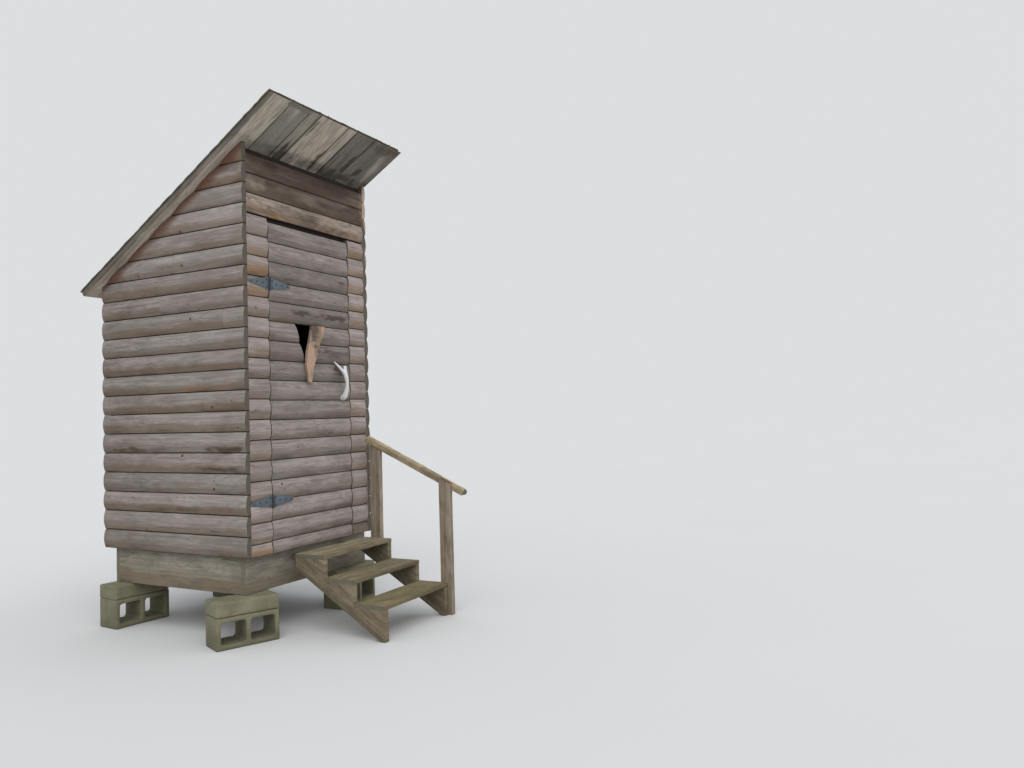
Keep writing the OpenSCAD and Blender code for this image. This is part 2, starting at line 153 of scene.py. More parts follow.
class Along(Enum):
    """The direction of a timber's grain."""

    X = 0
    Y = 1
    Z = 2


def frame_of(corner: Vector, length: Vector, depth: Vector) -> Matrix:
    """The move that takes +X to length and +Y to depth, with the origin at the corner."""
    turn = Matrix((length, depth, length.cross(depth))).transposed()
    return Matrix.Translation(corner) @ turn.to_4x4()


def corners(node: str) -> tuple[Vector, Vector]:
    """The lowest and the highest corner of a node's box."""
    low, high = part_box(node)
    return Vector(low), Vector(high)


# Working wood with mesh operators


@dataclass(frozen=True)
class Tone:
    """How one board differs from its neighbours, each from 0 to 1."""

    dark: float = 0.0
    warm: float = 0.0
    tint: float = 0.0


@dataclass(frozen=True)
class Spot:
    """A stain or a patch of painted shade on the boards: from the front left corner of the walls at the foot
    of the siding, in metres.
    """

    x: float
    y: float
    z: float
    reach: Triple
    tone: Tone


@dataclass(frozen=True)
class Wear:
    """How far a board has moved and worn since it was sawn, in metres."""

    bow: float = 0.0016
    ripple: float = 0.0005
    drift: float = 0.0010
    ends: float = 0.0015
    chamfer: float = 0.0015


SOUND = Wear(bow=0.0004, ripple=0.0002, drift=0.0003, ends=0.0003, chamfer=0.0012)
WORN = Wear(bow=0.0010, ripple=0.0007, drift=0.0012, ends=0.0020, chamfer=0.0025)
PLANK_WEAR = Wear(bow=0.0012, ripple=0.0008, drift=0.0006, ends=0.004)
SHARP = math.radians(38.0)


def behind_belly(above: float, course: float) -> float:
    """How far a log's face lies behind its belly at a height above the crown."""
    radius = ((course / 2) ** 2 + PLAN.log_belly ** 2) / (2 * PLAN.log_belly)
    return radius - math.sqrt(radius ** 2 - above ** 2)


def log_section(low: float, high: float, crown: float, course: float) -> list[Point]:
    """The outline across one log board: flat behind, an arc in front, a lip at each joint.

    Args:
        low: Height of the lower joint.
        high: Height of the upper joint.
        crown: Height at which the belly stands out most.
        course: Height of a whole course, which sets the arc.

    Returns:
        Depth and height of each point, in order round the board.
    """
    gap, lip, groove, facets = 0.0006, 0.0018, 0.005, 15
    start, rise = low + gap + lip, high - low - 2 * (gap + lip)
    heights = [start + rise * k / facets for k in range(facets + 1)]
    arc = [(behind_belly(z - crown, course), z) for z in heights]
    lower = (arc[0][0] + groove, low + gap)
    upper = (arc[-1][0] + groove, high - gap)
    back = PLAN.log_thick
    return [(back, low + gap), lower, *arc, upper, (back, high - gap)]


def plank_section(depth: float, height: float, chamfer: float, pitch: float = 0.03) -> list[Point]:
    """The outline across a sawn timber with worn arrises.

    Args:
        depth: Depth of the timber.
        height: Height of the timber.
        chamfer: Width of each arris.
        pitch: Distance between the points along its sides.

    Returns:
        Depth and height of each point, in order round the timber.
    """
    c = min(chamfer, depth / 4, height / 4)
    corners = [(c, 0.0), (depth - c, 0.0), (depth, c), (depth, height - c), (depth - c, height),
               (c, height), (0.0, height - c), (0.0, c)]
    ring = []
    for k, here in enumerate(corners):
        there = corners[(k + 1) % len(corners)]
        parts = max(1, round(math.dist(here, there) / pitch))
        ring += [(here[0] + (there[0] - here[0]) * j / parts, here[1] + (there[1] - here[1]) * j / parts)
                 for j in range(parts)]
    return ring


def sweep(section: Sequence[Point], length: float, step: float = 0.016) -> BMesh:
    """Run an outline along +X and close both ends.

    Args:
        section: Depth and height of each point.
        length: Length of the board.
        step: Distance between two rings.

    Returns:
        The closed board.
    """
    bm = bmesh.new()
    ring = [bm.verts.new((0.0, y, z)) for y, z in section]
    edges = [bm.edges.new((ring[k], ring[(k + 1) % len(ring)])) for k in range(len(ring))]
    steps = max(2, round(length / step))
    bmesh.ops.spin(bm, geom=ring + edges, cent=(0, 0, 0), axis=(1, 0, 0), dvec=(length / steps, 0, 0),
                   angle=0.0, steps=steps, use_duplicate=False)
    rims = [e for e in bm.edges if e.is_boundary]
    bmesh.ops.edgeloop_fill(bm, edges=rims)
    bmesh.ops.recalc_face_normals(bm, faces=bm.faces)
    return bm


def weather(bm: BMesh, seed: float, wear: Wear) -> None:
    """Bow and ripple a board, let its edges drift and its ends fray a little.

    Args:
        bm: The board, in its own frame.
        seed: Sets this board's wear apart from the others, 0 to 1.
        wear: How far it has moved.
    """
    shift = Vector((seed * 61.7, seed * 23.3, seed * 97.1))
    low = min(v.co.x for v in bm.verts)
    high = max(v.co.x for v in bm.verts)
    for vert in bm.verts:
        x, y, z = vert.co
        wave = noise.noise(Vector((x * 0.9, 0.0, 0.0)) + shift)
        fine = noise.noise(Vector((x * 8, y * 26, z * 26)) + shift)
        drift = noise.noise(Vector((x * 2.6, 3.1, z * 5)) + shift)
        vert.co.y += wear.bow * wave + wear.ripple * fine
        vert.co.z += wear.drift * drift
        if x < low + 1e-4 or x > high - 1e-4:
            vert.co.x += wear.ends * noise.noise(Vector((y * 45, z * 45, x)) + shift)


def slice_off(bm: BMesh, where: Vector, normal: Vector) -> None:
    """Saw a board through and drop what lies on the normal's side.

    Args:
        bm: The board.
        where: A point of the cut.
        normal: The direction square to the cut.
    """
    cut = bmesh.ops.bisect_plane(bm, geom=bm.verts[:] + bm.edges[:] + bm.faces[:], plane_co=where,
                                 plane_no=normal, clear_outer=True, clear_inner=False)
    rim = [g for g in cut["geom_cut"] if isinstance(g, bmesh.types.BMEdge)]
    if rim:
        bmesh.ops.edgeloop_fill(bm, edges=rim)


def push_out(bm: BMesh, by: Vector) -> list[BMVert]:
    """Extrude all faces of a flat mesh.

    Args:
        bm: The flat mesh.
        by: The way and the distance that they are pushed.

    Returns:
        The corners that moved.
    """
    pushed = bmesh.ops.extrude_face_region(bm, geom=bm.faces[:])["geom"]
    moved = [g for g in pushed if isinstance(g, BMVert)]
    bmesh.ops.translate(bm, verts=moved, vec=by)
    return moved


def prism(outline: Iterable[Sequence[float]], by: Vector, in_triangles: bool = False) -> BMesh:
    """A flat outline pushed out into a solid.

    Args:
        outline: The corners, in order.
        by: The way and the distance that it is pushed.
        in_triangles: Split the outline first, for one that turns in.

    Returns:
        The closed solid.
    """
    bm = bmesh.new()
    face = bm.faces.new([bm.verts.new(corner) for corner in outline])
    if in_triangles:
        bmesh.ops.triangulate(bm, faces=[face])
    push_out(bm, by)
    bmesh.ops.recalc_face_normals(bm, faces=bm.faces)
    return bm


def cuboid(size: Sequence[float], middle: Sequence[float] = (0.0, 0.0, 0.0)) -> BMesh:
    """A plain block.

    Args:
        size: Its three sizes.
        middle: Its middle.

    Returns:
        The block.
    """
    bm = bmesh.new()
    bmesh.ops.create_cube(bm, size=1.0)
    bmesh.ops.scale(bm, vec=size, verts=bm.verts)
    bmesh.ops.translate(bm, vec=middle, verts=bm.verts)
    return bm


def ease(bm: BMesh, edges: Sequence[BMEdge], width: float, segments: int = 2, clamp: bool = False) -> None:
    """Round edges over.

    Args:
        bm: The solid.
        edges: The edges.
        width: Width of the rounding.
        segments: Number of strips that it gets.
        clamp: Whether it narrows where it would run into another.
    """
    bmesh.ops.bevel(bm, geom=edges, offset=width, offset_type="OFFSET", segments=segments, profile=0.5,
                    affect="EDGES", material=-1, clamp_overlap=clamp)


def mark_grain(bm: BMesh, seed: float, tone: Tone, low: float = 0.0, high: float = 1.0,
               turn: float = 0.0, broad_y: bool = True) -> None:
    """Write what the wood finishes read: the run of the grain, the place on the board and its tone.

    Args:
        bm: The board, in its own frame.
        seed: Sets this board's figure apart from the others, 0 to 1.
        tone: How this board differs in colour.
        low: Height or depth at which the board's broad face starts.
        high: Height or depth at which it ends.
        turn: Turn of the grain away from +X, in the broad face.
        broad_y: Whether the broad face looks along Y, or else along Z.
    """
    grain = bm.loops.layers.uv.new("grain")
    place = bm.loops.layers.uv.new("place")
    board = bm.loops.layers.float_color.new("board")
    mark = (seed, tone.dark, tone.warm, tone.tint)
    ca, sa = math.cos(turn), math.sin(turn)
    bm.normal_update()
    for face in bm.faces:
        n = face.normal
        ax, ay, az = abs(n.x), abs(n.y), abs(n.z)
        end = ax > 0.75 and turn == 0.0
        for loop in face.loops:
            x, y, z = loop.vert.co
            side = z if broad_y else y
            if end:
                u, v = y, z
            elif broad_y:
                u, v = (x * ca + z * sa, z * ca - x * sa) if ay >= az else (x * ca + z * sa, z + y)
            else:
                u, v = (x, y) if az >= ay else (x, y + z)
            loop[grain].uv = (u, v)
            loop[place].uv = ((side - low) / (high - low), 1.0 if end else 0.0)
            loop[board] = mark


class Piece:
    """One named piece of the scene: boards or fittings gathered into one mesh."""

    def __init__(self, name: str) -> None:
        """Start an empty piece with the layers that the finishes read.

        Args:
            name: Its name.
        """
        self.name = name
        self.mesh = bmesh.new()
        self.mesh.loops.layers.uv.new("grain")
        self.mesh.loops.layers.uv.new("place")
        self.mesh.loops.layers.float_color.new("board")

    def add(self, part: BMesh, place: Matrix = Matrix()) -> None:
        """Set a finished part in its place and free it.

        Args:
            part: The part, with the layers that the finishes read.
            place: The move that sets it in the frame.
        """
        part.transform(place)
        carrier = bpy.data.meshes.new("carrier")
        part.to_mesh(carrier)
        part.free()
        self.mesh.from_mesh(carrier)
        bpy.data.meshes.remove(carrier)

    def build(self, finish: Material, body: str = "root", nodes: Iterable[str] = (), slot: str = "",
              spots: Sequence[Spot] = ()) -> Object:
        """Make the object, dress it and tell the frame what it stands for.

        Args:
            finish: Its material.
            body: The body that it rides on.
            nodes: Nodes of the frame that it replaces.
            slot: Not used.
            spots: Stains and patches of painted shade.

        Returns:
            The object, at the origin, with its place in its mesh.
        """
        obj = solid_from(self.mesh, self.name)
        obj.data.shade_smooth()
        obj.data.set_sharp_from_angle(angle=SHARP)
        obj.data.materials.append(finish)
        tone_stains_and_shade(obj.data, spots)
        return declare(obj, body, nodes)


def stand(name: str, data: bpy.types.ID) -> Object:
    """Put an object in the scene, at the origin.

    Args:
        name: Its name.
        data: Its data.

    Returns:
        The object.
    """
    obj = bpy.data.objects.new(name, data)
    bpy.context.scene.collection.objects.link(obj)
    return obj


def solid_from(bm: BMesh, name: str) -> Object:
    """Make an object from a finished mesh.

    Args:
        bm: The mesh, which is freed.
        name: The object's name.

    Returns:
        The object.
    """
    data = bpy.data.meshes.new(name)
    bm.to_mesh(data)
    bm.free()
    return stand(name, data)


def apply_modifiers(obj: Object) -> None:
    """Turn an object's modifiers into its mesh.

    Args:
        obj: The object.
    """
    depsgraph = bpy.context.evaluated_depsgraph_get()
    data = bpy.data.meshes.new_from_object(obj.evaluated_get(depsgraph))
    old = obj.data
    obj.modifiers.clear()
    obj.data = data
    bpy.data.meshes.remove(old)


def cut_out(obj: Object, bm: BMesh) -> None:
    """Saw a solid's shape out of an object.

    Args:
        obj: The object.
        bm: The solid, which is used up.
    """
    cutter = solid_from(bm, "cutter")
    modifier = obj.modifiers.new("cut", "BOOLEAN")
    modifier.operation, modifier.solver, modifier.object = "DIFFERENCE", "EXACT", cutter
    apply_modifiers(obj)
    bpy.data.objects.remove(cutter)


def remesh(obj: Object, voxel: float, smooth: int) -> None:
    """Rebuild a closed shape as an even skin and soften it.

    Args:
        obj: The object to rebuild.
        voxel: Size of a face, in metres.
        smooth: Rounds of smoothing.
    """
    modifier = obj.modifiers.new("skin", "REMESH")
    modifier.mode, modifier.voxel_size = "VOXEL", voxel
    soften = obj.modifiers.new("soften", "SMOOTH")
    soften.factor, soften.iterations = 0.5, smooth
    apply_modifiers(obj)


def remark(obj: Object, seed: float, tone: Tone, run: Vector) -> None:
    """Write the grain layers on a finished mesh whose wood runs in one direction of the frame.

    Args:
        obj: The object.
        seed: Sets its figure apart from the others, 0 to 1.
        tone: How it differs in colour.
        run: The direction of its grain.
    """
    across = run.cross(Vector((0, 1, 0))).normalized()
    data = obj.data
    grain = data.uv_layers.new(name="grain")
    place = data.uv_layers.new(name="place")
    board = data.color_attributes.new("board", "FLOAT_COLOR", "CORNER")
    for loop in data.loops:
        co = data.vertices[loop.vertex_index].co
        grain.data[loop.index].uv = (co.dot(run), co.dot(across) + co.y)
        place.data[loop.index].uv = (0.5, 0.0)
        board.data[loop.index].color = (seed, tone.dark, tone.warm, tone.tint)
    data.shade_smooth()


def tone_stains_and_shade(data: Mesh, spots: Sequence[Spot]) -> None:
    """Change the boards' tone at stains and at patches of painted shade, strongest in their middle.

    Args:
        data: The boards.
        spots: The stains and patches of painted shade.
    """
    ragged, streak, rise = 0.55, 17, 48
    for spot in spots:
        board = data.color_attributes["board"].data
        middle = PLAN.at(spot.x, spot.y, PLAN.foot + spot.z)
        near = {}
        for vert in data.vertices:
            x, y, z = vert.co
            far = math.hypot(*((vert.co[k] - middle[k]) / spot.reach[k] for k in range(3)))
            far += ragged * noise.noise(Vector((x * streak, y * streak, z * rise)))
            if far < 1.0:
                near[vert.index] = (1.0 - max(0.0, far) ** 2) ** 1.5
        for loop in data.loops:
            share = near.get(loop.vertex_index)
            if share:
                seed, dark, warm, tint = board[loop.index].color
                board[loop.index].color = (seed, dark + share * spot.tone.dark,
                                           warm + share * spot.tone.warm,
                                           max(0.0, tint + share * spot.tone.tint))


def declare(obj: Object, body: str, nodes: Iterable[str]) -> Object:
    """Let a piece ride on its body and stand for its nodes; report it.

    Args:
        obj: The piece.
        body: The body that it rides on.
        nodes: Nodes of the frame that it replaces.

    Returns:
        The piece.
    """
    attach(obj, body)
    nodes = tuple(nodes)
    if nodes:
        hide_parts(*nodes)
    LOG.info("%s: %d faces, on %s, for %s", obj.name, len(obj.data.polygons), body, ", ".join(nodes) or "-")
    return obj


class Yard:
    """Cuts boards and timbers one after another, each with its own figure."""

    def __init__(self, seed: int) -> None:
        """Start with a fixed draw of figures."""
        self.draw = random.Random(seed)

    def log(self, piece: Piece, facing: Facing, corner: Vector, length: float, low: float, high: float,
            crown: float, course: float, tone: Tone, keep_under_roof: bool = False) -> None:
        """Cut one log board and set it on a wall.

        Args:
            piece: The piece that it joins.
            facing: The side that the wall shows.
            corner: Its left end on the wall's face, at the foot of the wall, seen from outside.
            length: Its length.
            low: Lower joint above the foot of the wall.
            high: Upper joint above the foot of the wall.
            crown: Height of the belly above the foot of the wall.
            course: Height of a whole course.
            tone: Its tone.
            keep_under_roof: Whether to saw it off along the roof.
        """
        seed = self.draw.random()
        bm = sweep(log_section(low, high, crown, course), length)
        weather(bm, seed, Wear())
        place = facing.place(corner)
        if keep_under_roof:
            back = place.inverted()
            where = PLAN.at(0, 0, PLAN.under_roof(0.0) - 0.002)
            slice_off(bm, back @ where, back.to_3x3() @ OFF_ROOF)
            if not bm.faces:
                bm.free()
                return
        mark_grain(bm, seed, tone, low, high)
        piece.add(bm, place)

    def stack(self, piece: Piece, sides: Point, first: float, course: float, top: float, out: float,
              tone: Callable[[int], Tone]) -> None:
        """Cut the boards of the front's wall or door, one over another, and let each sit a little off.

        Args:
            piece: The piece that they join.
            sides: Their left and right ends on the plan.
            first: Height of the lowest board.
            course: Height of a whole course.
            top: Height of the stack.
            out: How far out a board may sit, as a negative depth.
            tone: Gives each board's tone by its number.
        """
        left, right = sides
        low, high, number = 0.0, first, 0
        while low < top - 0.01:
            shade = tone(number)
            corner = PLAN.at(left, self.draw.uniform(out, 0.001), PLAN.foot)
            self.log(piece, Facing.FRONT, corner, right - left - self.draw.uniform(0.0, 0.003), low, high,
                     high - course / 2, course, shade)
            low, high, number = high, min(high + course, top), number + 1

    def timber(self, piece: Piece, low: Vector, high: Vector, along: Along, tone: Tone = Tone(),
               wear: Wear = SOUND, step: float = 0.03,
               trim: Optional[Callable[[BMesh], None]] = None) -> None:
        """Cut one straight sawn timber between two corners and set it in place.

        Args:
            piece: The piece that it joins.
            low: Its lowest corner.
            high: Its highest corner.
            along: The direction of its grain.
            tone: Its tone.
            wear: Its wear.
            step: Distance between two rings along it.
            trim: A further cut, made once it is in place.
        """
        seed = self.draw.random()
        size = high - low
        if along is Along.X:
            length, depth, height = size
            move = Matrix.Translation(low)
        elif along is Along.Y:
            depth, length, height = size
            move = frame_of(Vector((high.x, low.y, low.z)), Vector((0, 1, 0)), Vector((-1, 0, 0)))
        else:
            height, depth, length = size
            move = frame_of(Vector((low.x, high.y, low.z)), Vector((0, 0, 1)), Vector((0, -1, 0)))
        bm = sweep(plank_section(depth, height, wear.chamfer), length, step)
        weather(bm, seed, wear)
        broad_y = height >= depth
        mark_grain(bm, seed, tone, 0.0, height if broad_y else depth, broad_y=broad_y)
        if trim:
            bm.transform(move)
            trim(bm)
            move = Matrix()
        piece.add(bm, move)

    def fill(self, node: str, kind: str, finish: Material, slot: str, along: Along, rise: float = 0.0,
             body: str = "root", **how: Any) -> None:
        """Cut one timber that fills a node's box, and let it stand for the node.

        Args:
            node: The node.
            kind: What the timber is called, after the node's name.
            finish: Its material.
            slot: Passed on to the piece, which does not use it.
            along: The direction of its grain.
            rise: How far it stands over the box, for a trim to saw off.
            body: The body that it rides on.
            **how: Its tone, wear, step and trim.
        """
        piece = Piece(f"{node}_{kind}")
        low, high = corners(node)
        self.timber(piece, low, high + Vector((0, 0, rise)), along, **how)
        piece.build(finish, body, [node], slot)


# Finishes


class Graph:
    """A node tree, with short calls for the nodes that the finishes use."""

    def __init__(self, tree: bpy.types.NodeTree) -> None:
        """Work on this tree."""
        self.tree = tree

    def add(self, kind: str, **settings: Any) -> Node:
        """Add a node and set its properties.

        Args:
            kind: Its type, after the prefix that all of them have.
            **settings: Its properties.

        Returns:
            The node.
        """
        node = self.tree.nodes.new("ShaderNode" + kind)
        for name, value in settings.items():
            setattr(node, name, value)
        return node

    def feed(self, socket: Socket, value: Fed) -> None:
        """Link a socket, or set its value.

        Args:
            socket: The socket.
            value: Another socket, a number, a vector or a screen colour.
        """
        if isinstance(value, Socket):
            self.tree.links.new(value, socket)
        else:
            socket.default_value = linear(value) if socket.type == "RGBA" else value

    def fill(self, node: Node, values: dict[Union[int, str], Fed]) -> Node:
        """Feed some of a node's inputs.

        Args:
            node: The node.
            values: The values, by the inputs' numbers or names.

        Returns:
            The node.
        """
        for key, value in values.items():
            self.feed(node.inputs[key], value)
        return node

    def math(self, operation: str, *values: Fed) -> Socket:
        """One operation on up to three numbers."""
        node = self.add("Math", operation=operation)
        return self.fill(node, dict(enumerate(values))).outputs[0]

    def times(self, first: Fed, *others: Fed) -> Socket:
        """Multiply some numbers.

        Args:
            first: The first of them.
            others: The rest.

        Returns:
            The product's socket.
        """
        for other in others:
            first = self.math("MULTIPLY", first, other)
        return first

    def plus(self, a: Fed, b: Fed) -> Socket:
        """The sum of two numbers."""
        return self.math("ADD", a, b)

    def minus(self, a: Fed, b: Fed) -> Socket:
        """One number less another."""
        return self.math("SUBTRACT", a, b)

    def vector(self, operation: str, a: Fed, b: Fed = (0.0, 0.0, 0.0)) -> Socket:
        """One operation on two vectors; LENGTH and DOT_PRODUCT give a number."""
        node = self.fill(self.add("VectorMath", operation=operation), {0: a, 1: b})
        return node.outputs[1 if operation in ("LENGTH", "DOT_PRODUCT") else 0]

    def join(self, x: Fed, y: Fed, z: Fed = 0.0) -> Socket:
        """Three numbers as a vector."""
        return self.fill(self.add("CombineXYZ"), {0: x, 1: y, 2: z}).outputs[0]

    def split(self, value: Fed) -> tuple[Socket, ...]:
        """A vector as three numbers."""
        return tuple(self.fill(self.add("SeparateXYZ"), {0: value}).outputs)

    def shades(self, colour: Socket) -> tuple[Socket, ...]:
        """A colour as three numbers."""
        return tuple(self.fill(self.add("SeparateColor"), {0: colour}).outputs)

    def noise(self, at: Fed, scale: float = 1.0, detail: float = 2.0, rough: float = 0.5) -> Socket:
        """Soft noise, 0 to 1."""
        values = {"Vector": at, "Scale": scale, "Detail": detail, "Roughness": rough}
        return self.fill(self.add("TexNoise", noise_dimensions="3D"), values).outputs[0]

    def step(self, value: Fed, low: Fed, high: Fed, start: float = 0.0, end: float = 1.0) -> Socket:
        """A smooth step of a number from start at low to end at high."""
        values = {"Value": value, "From Min": low, "From Max": high, "To Min": start, "To Max": end}
        return self.fill(self.add("MapRange", interpolation_type="SMOOTHSTEP"), values).outputs[0]

    def mix(self, amount: Fed, a: Fed, b: Fed) -> Socket:
        """Two colours mixed."""
        node = self.add("Mix", data_type="RGBA", blend_type="MIX", clamp_factor=True)
        return self.fill(node, {0: amount, 6: a, 7: b}).outputs[2]

    def place(self) -> Socket:
        """Where a point lies on the object."""
        return self.add("TexCoord").outputs["Object"]

    def marks(self, layer: str) -> tuple[Socket, Socket]:
        """The two numbers of a layer that the boards carry."""
        return self.split(self.add("UVMap", uv_map=layer).outputs[0])[:2]

    def board(self) -> tuple[Socket, ...]:
        """A board's seed, dark, warm and tint."""
        mark = self.add("Attribute", attribute_name="board").outputs
        return (*self.shades(mark["Color"]), mark["Alpha"])


class Shared(Graph):
    """A shader node group, built once and placed in each material with its own values."""

    def __init__(self, name: str, inputs: dict[str, Fed], outputs: dict[str, str]) -> None:
        """Make the group's sockets.

        Args:
            name: Its name.
            inputs: Each input's name and value; three numbers make a colour.
            outputs: Each output's name, and Color or Float.
        """
        tree = bpy.data.node_groups.new(name, "ShaderNodeTree")
        super().__init__(tree)
        for key, value in inputs.items():
            kind = "Color" if isinstance(value, tuple) else "Float"
            socket = tree.interface.new_socket(name=key, in_out="INPUT", socket_type="NodeSocket" + kind)
            socket.default_value = linear(value) if kind == "Color" else value
        for key, kind in outputs.items():
            tree.interface.new_socket(name=key, in_out="OUTPUT", socket_type="NodeSocket" + kind)
        self.given = tree.nodes.new("NodeGroupInput").outputs
        self.result = tree.nodes.new("NodeGroupOutput").inputs

    def use(self, graph: Graph, **values: Fed) -> Node:
        """Place the group in another tree with its own values."""
        return graph.fill(graph.add("Group", node_tree=self.tree), values)


def grain_group() -> Shared:
    """The figure of a board: fibres, streaks, growth rings, knots and checks along its grain.

    Returns:
        The group.
    """
    g = Shared("board figure", {"Knots": 0.25, "Checks": 0.5},
               dict.fromkeys(("Fibre", "Streak", "Rings", "Knot", "Check"), "Float"))
    u, v = g.marks("grain")
    seed = g.times(g.board()[0], 53.0)

    # Knots sit at the nearest point of a stretched cell pattern
    cell_u, cell_v = 2.2, 6.4
    spot = g.join(g.math("MULTIPLY_ADD", u, cell_u, 0.5), g.times(v, cell_v))
    spot = g.vector("ADD", spot, g.join(g.times(seed, 7.3), g.times(seed, 3.7)))
    cells = g.add("TexVoronoi", voronoi_dimensions="2D", feature="F1")
    cells = g.fill(cells, {"Vector": spot, "Scale": 1.0}).outputs
    chance, size, _ = g.shades(cells["Color"])
    away = g.vector("DIVIDE", g.vector("SUBTRACT", spot, cells["Position"]), (cell_u, cell_v, 1.0))
    _, dv, _ = g.split(away)
    far = g.vector("LENGTH", away)
    there = g.math("LESS_THAN", chance, g.given["Knots"])
    radius = g.math("MULTIPLY_ADD", size, 0.009, 0.004)
    knot = g.times(g.step(g.math("DIVIDE", far, radius), 0.75, 1.0, 1.0, 0.0), there)
    square = g.times(radius, radius)
    bend = g.math("DIVIDE", g.times(square, 2.6), g.plus(g.times(far, far), g.times(square, 1.3)))
    v = g.minus(v, g.times(dv, bend, there))

    def field(along: float, across: float, detail: float, rough: float = 0.5) -> Socket:
        """Noise drawn out along the grain."""
        return g.noise(g.join(g.times(u, along), g.times(v, across), seed), 1.0, detail, rough)

    turns = g.math("SINE", g.times(field(0.85, 7.5, 1.5), 150.0))
    checks = g.math("ABSOLUTE", g.minus(field(1.7, 46.0, 1.0), 0.5))
    line = g.times(g.step(checks, 0.0, 0.014, 1.0, 0.0), g.step(field(1.1, 17.0, 1.0), 0.5, 0.62))
    star = g.times(g.step(g.math("ABSOLUTE", dv), 0.0, 0.0012, 1.0, 0.0), knot)
    g.feed(g.result["Fibre"], g.step(field(7.0, 330.0, 3.0, 0.6), 0.25, 0.75))
    g.feed(g.result["Streak"], g.step(field(1.4, 52.0, 3.0, 0.6), 0.3, 0.7))
    g.feed(g.result["Rings"], g.step(turns, 0.1, 1.0))
    g.feed(g.result["Knot"], knot)
    g.feed(g.result["Check"], g.times(g.math("MAXIMUM", line, star), g.given["Checks"]))
    return g


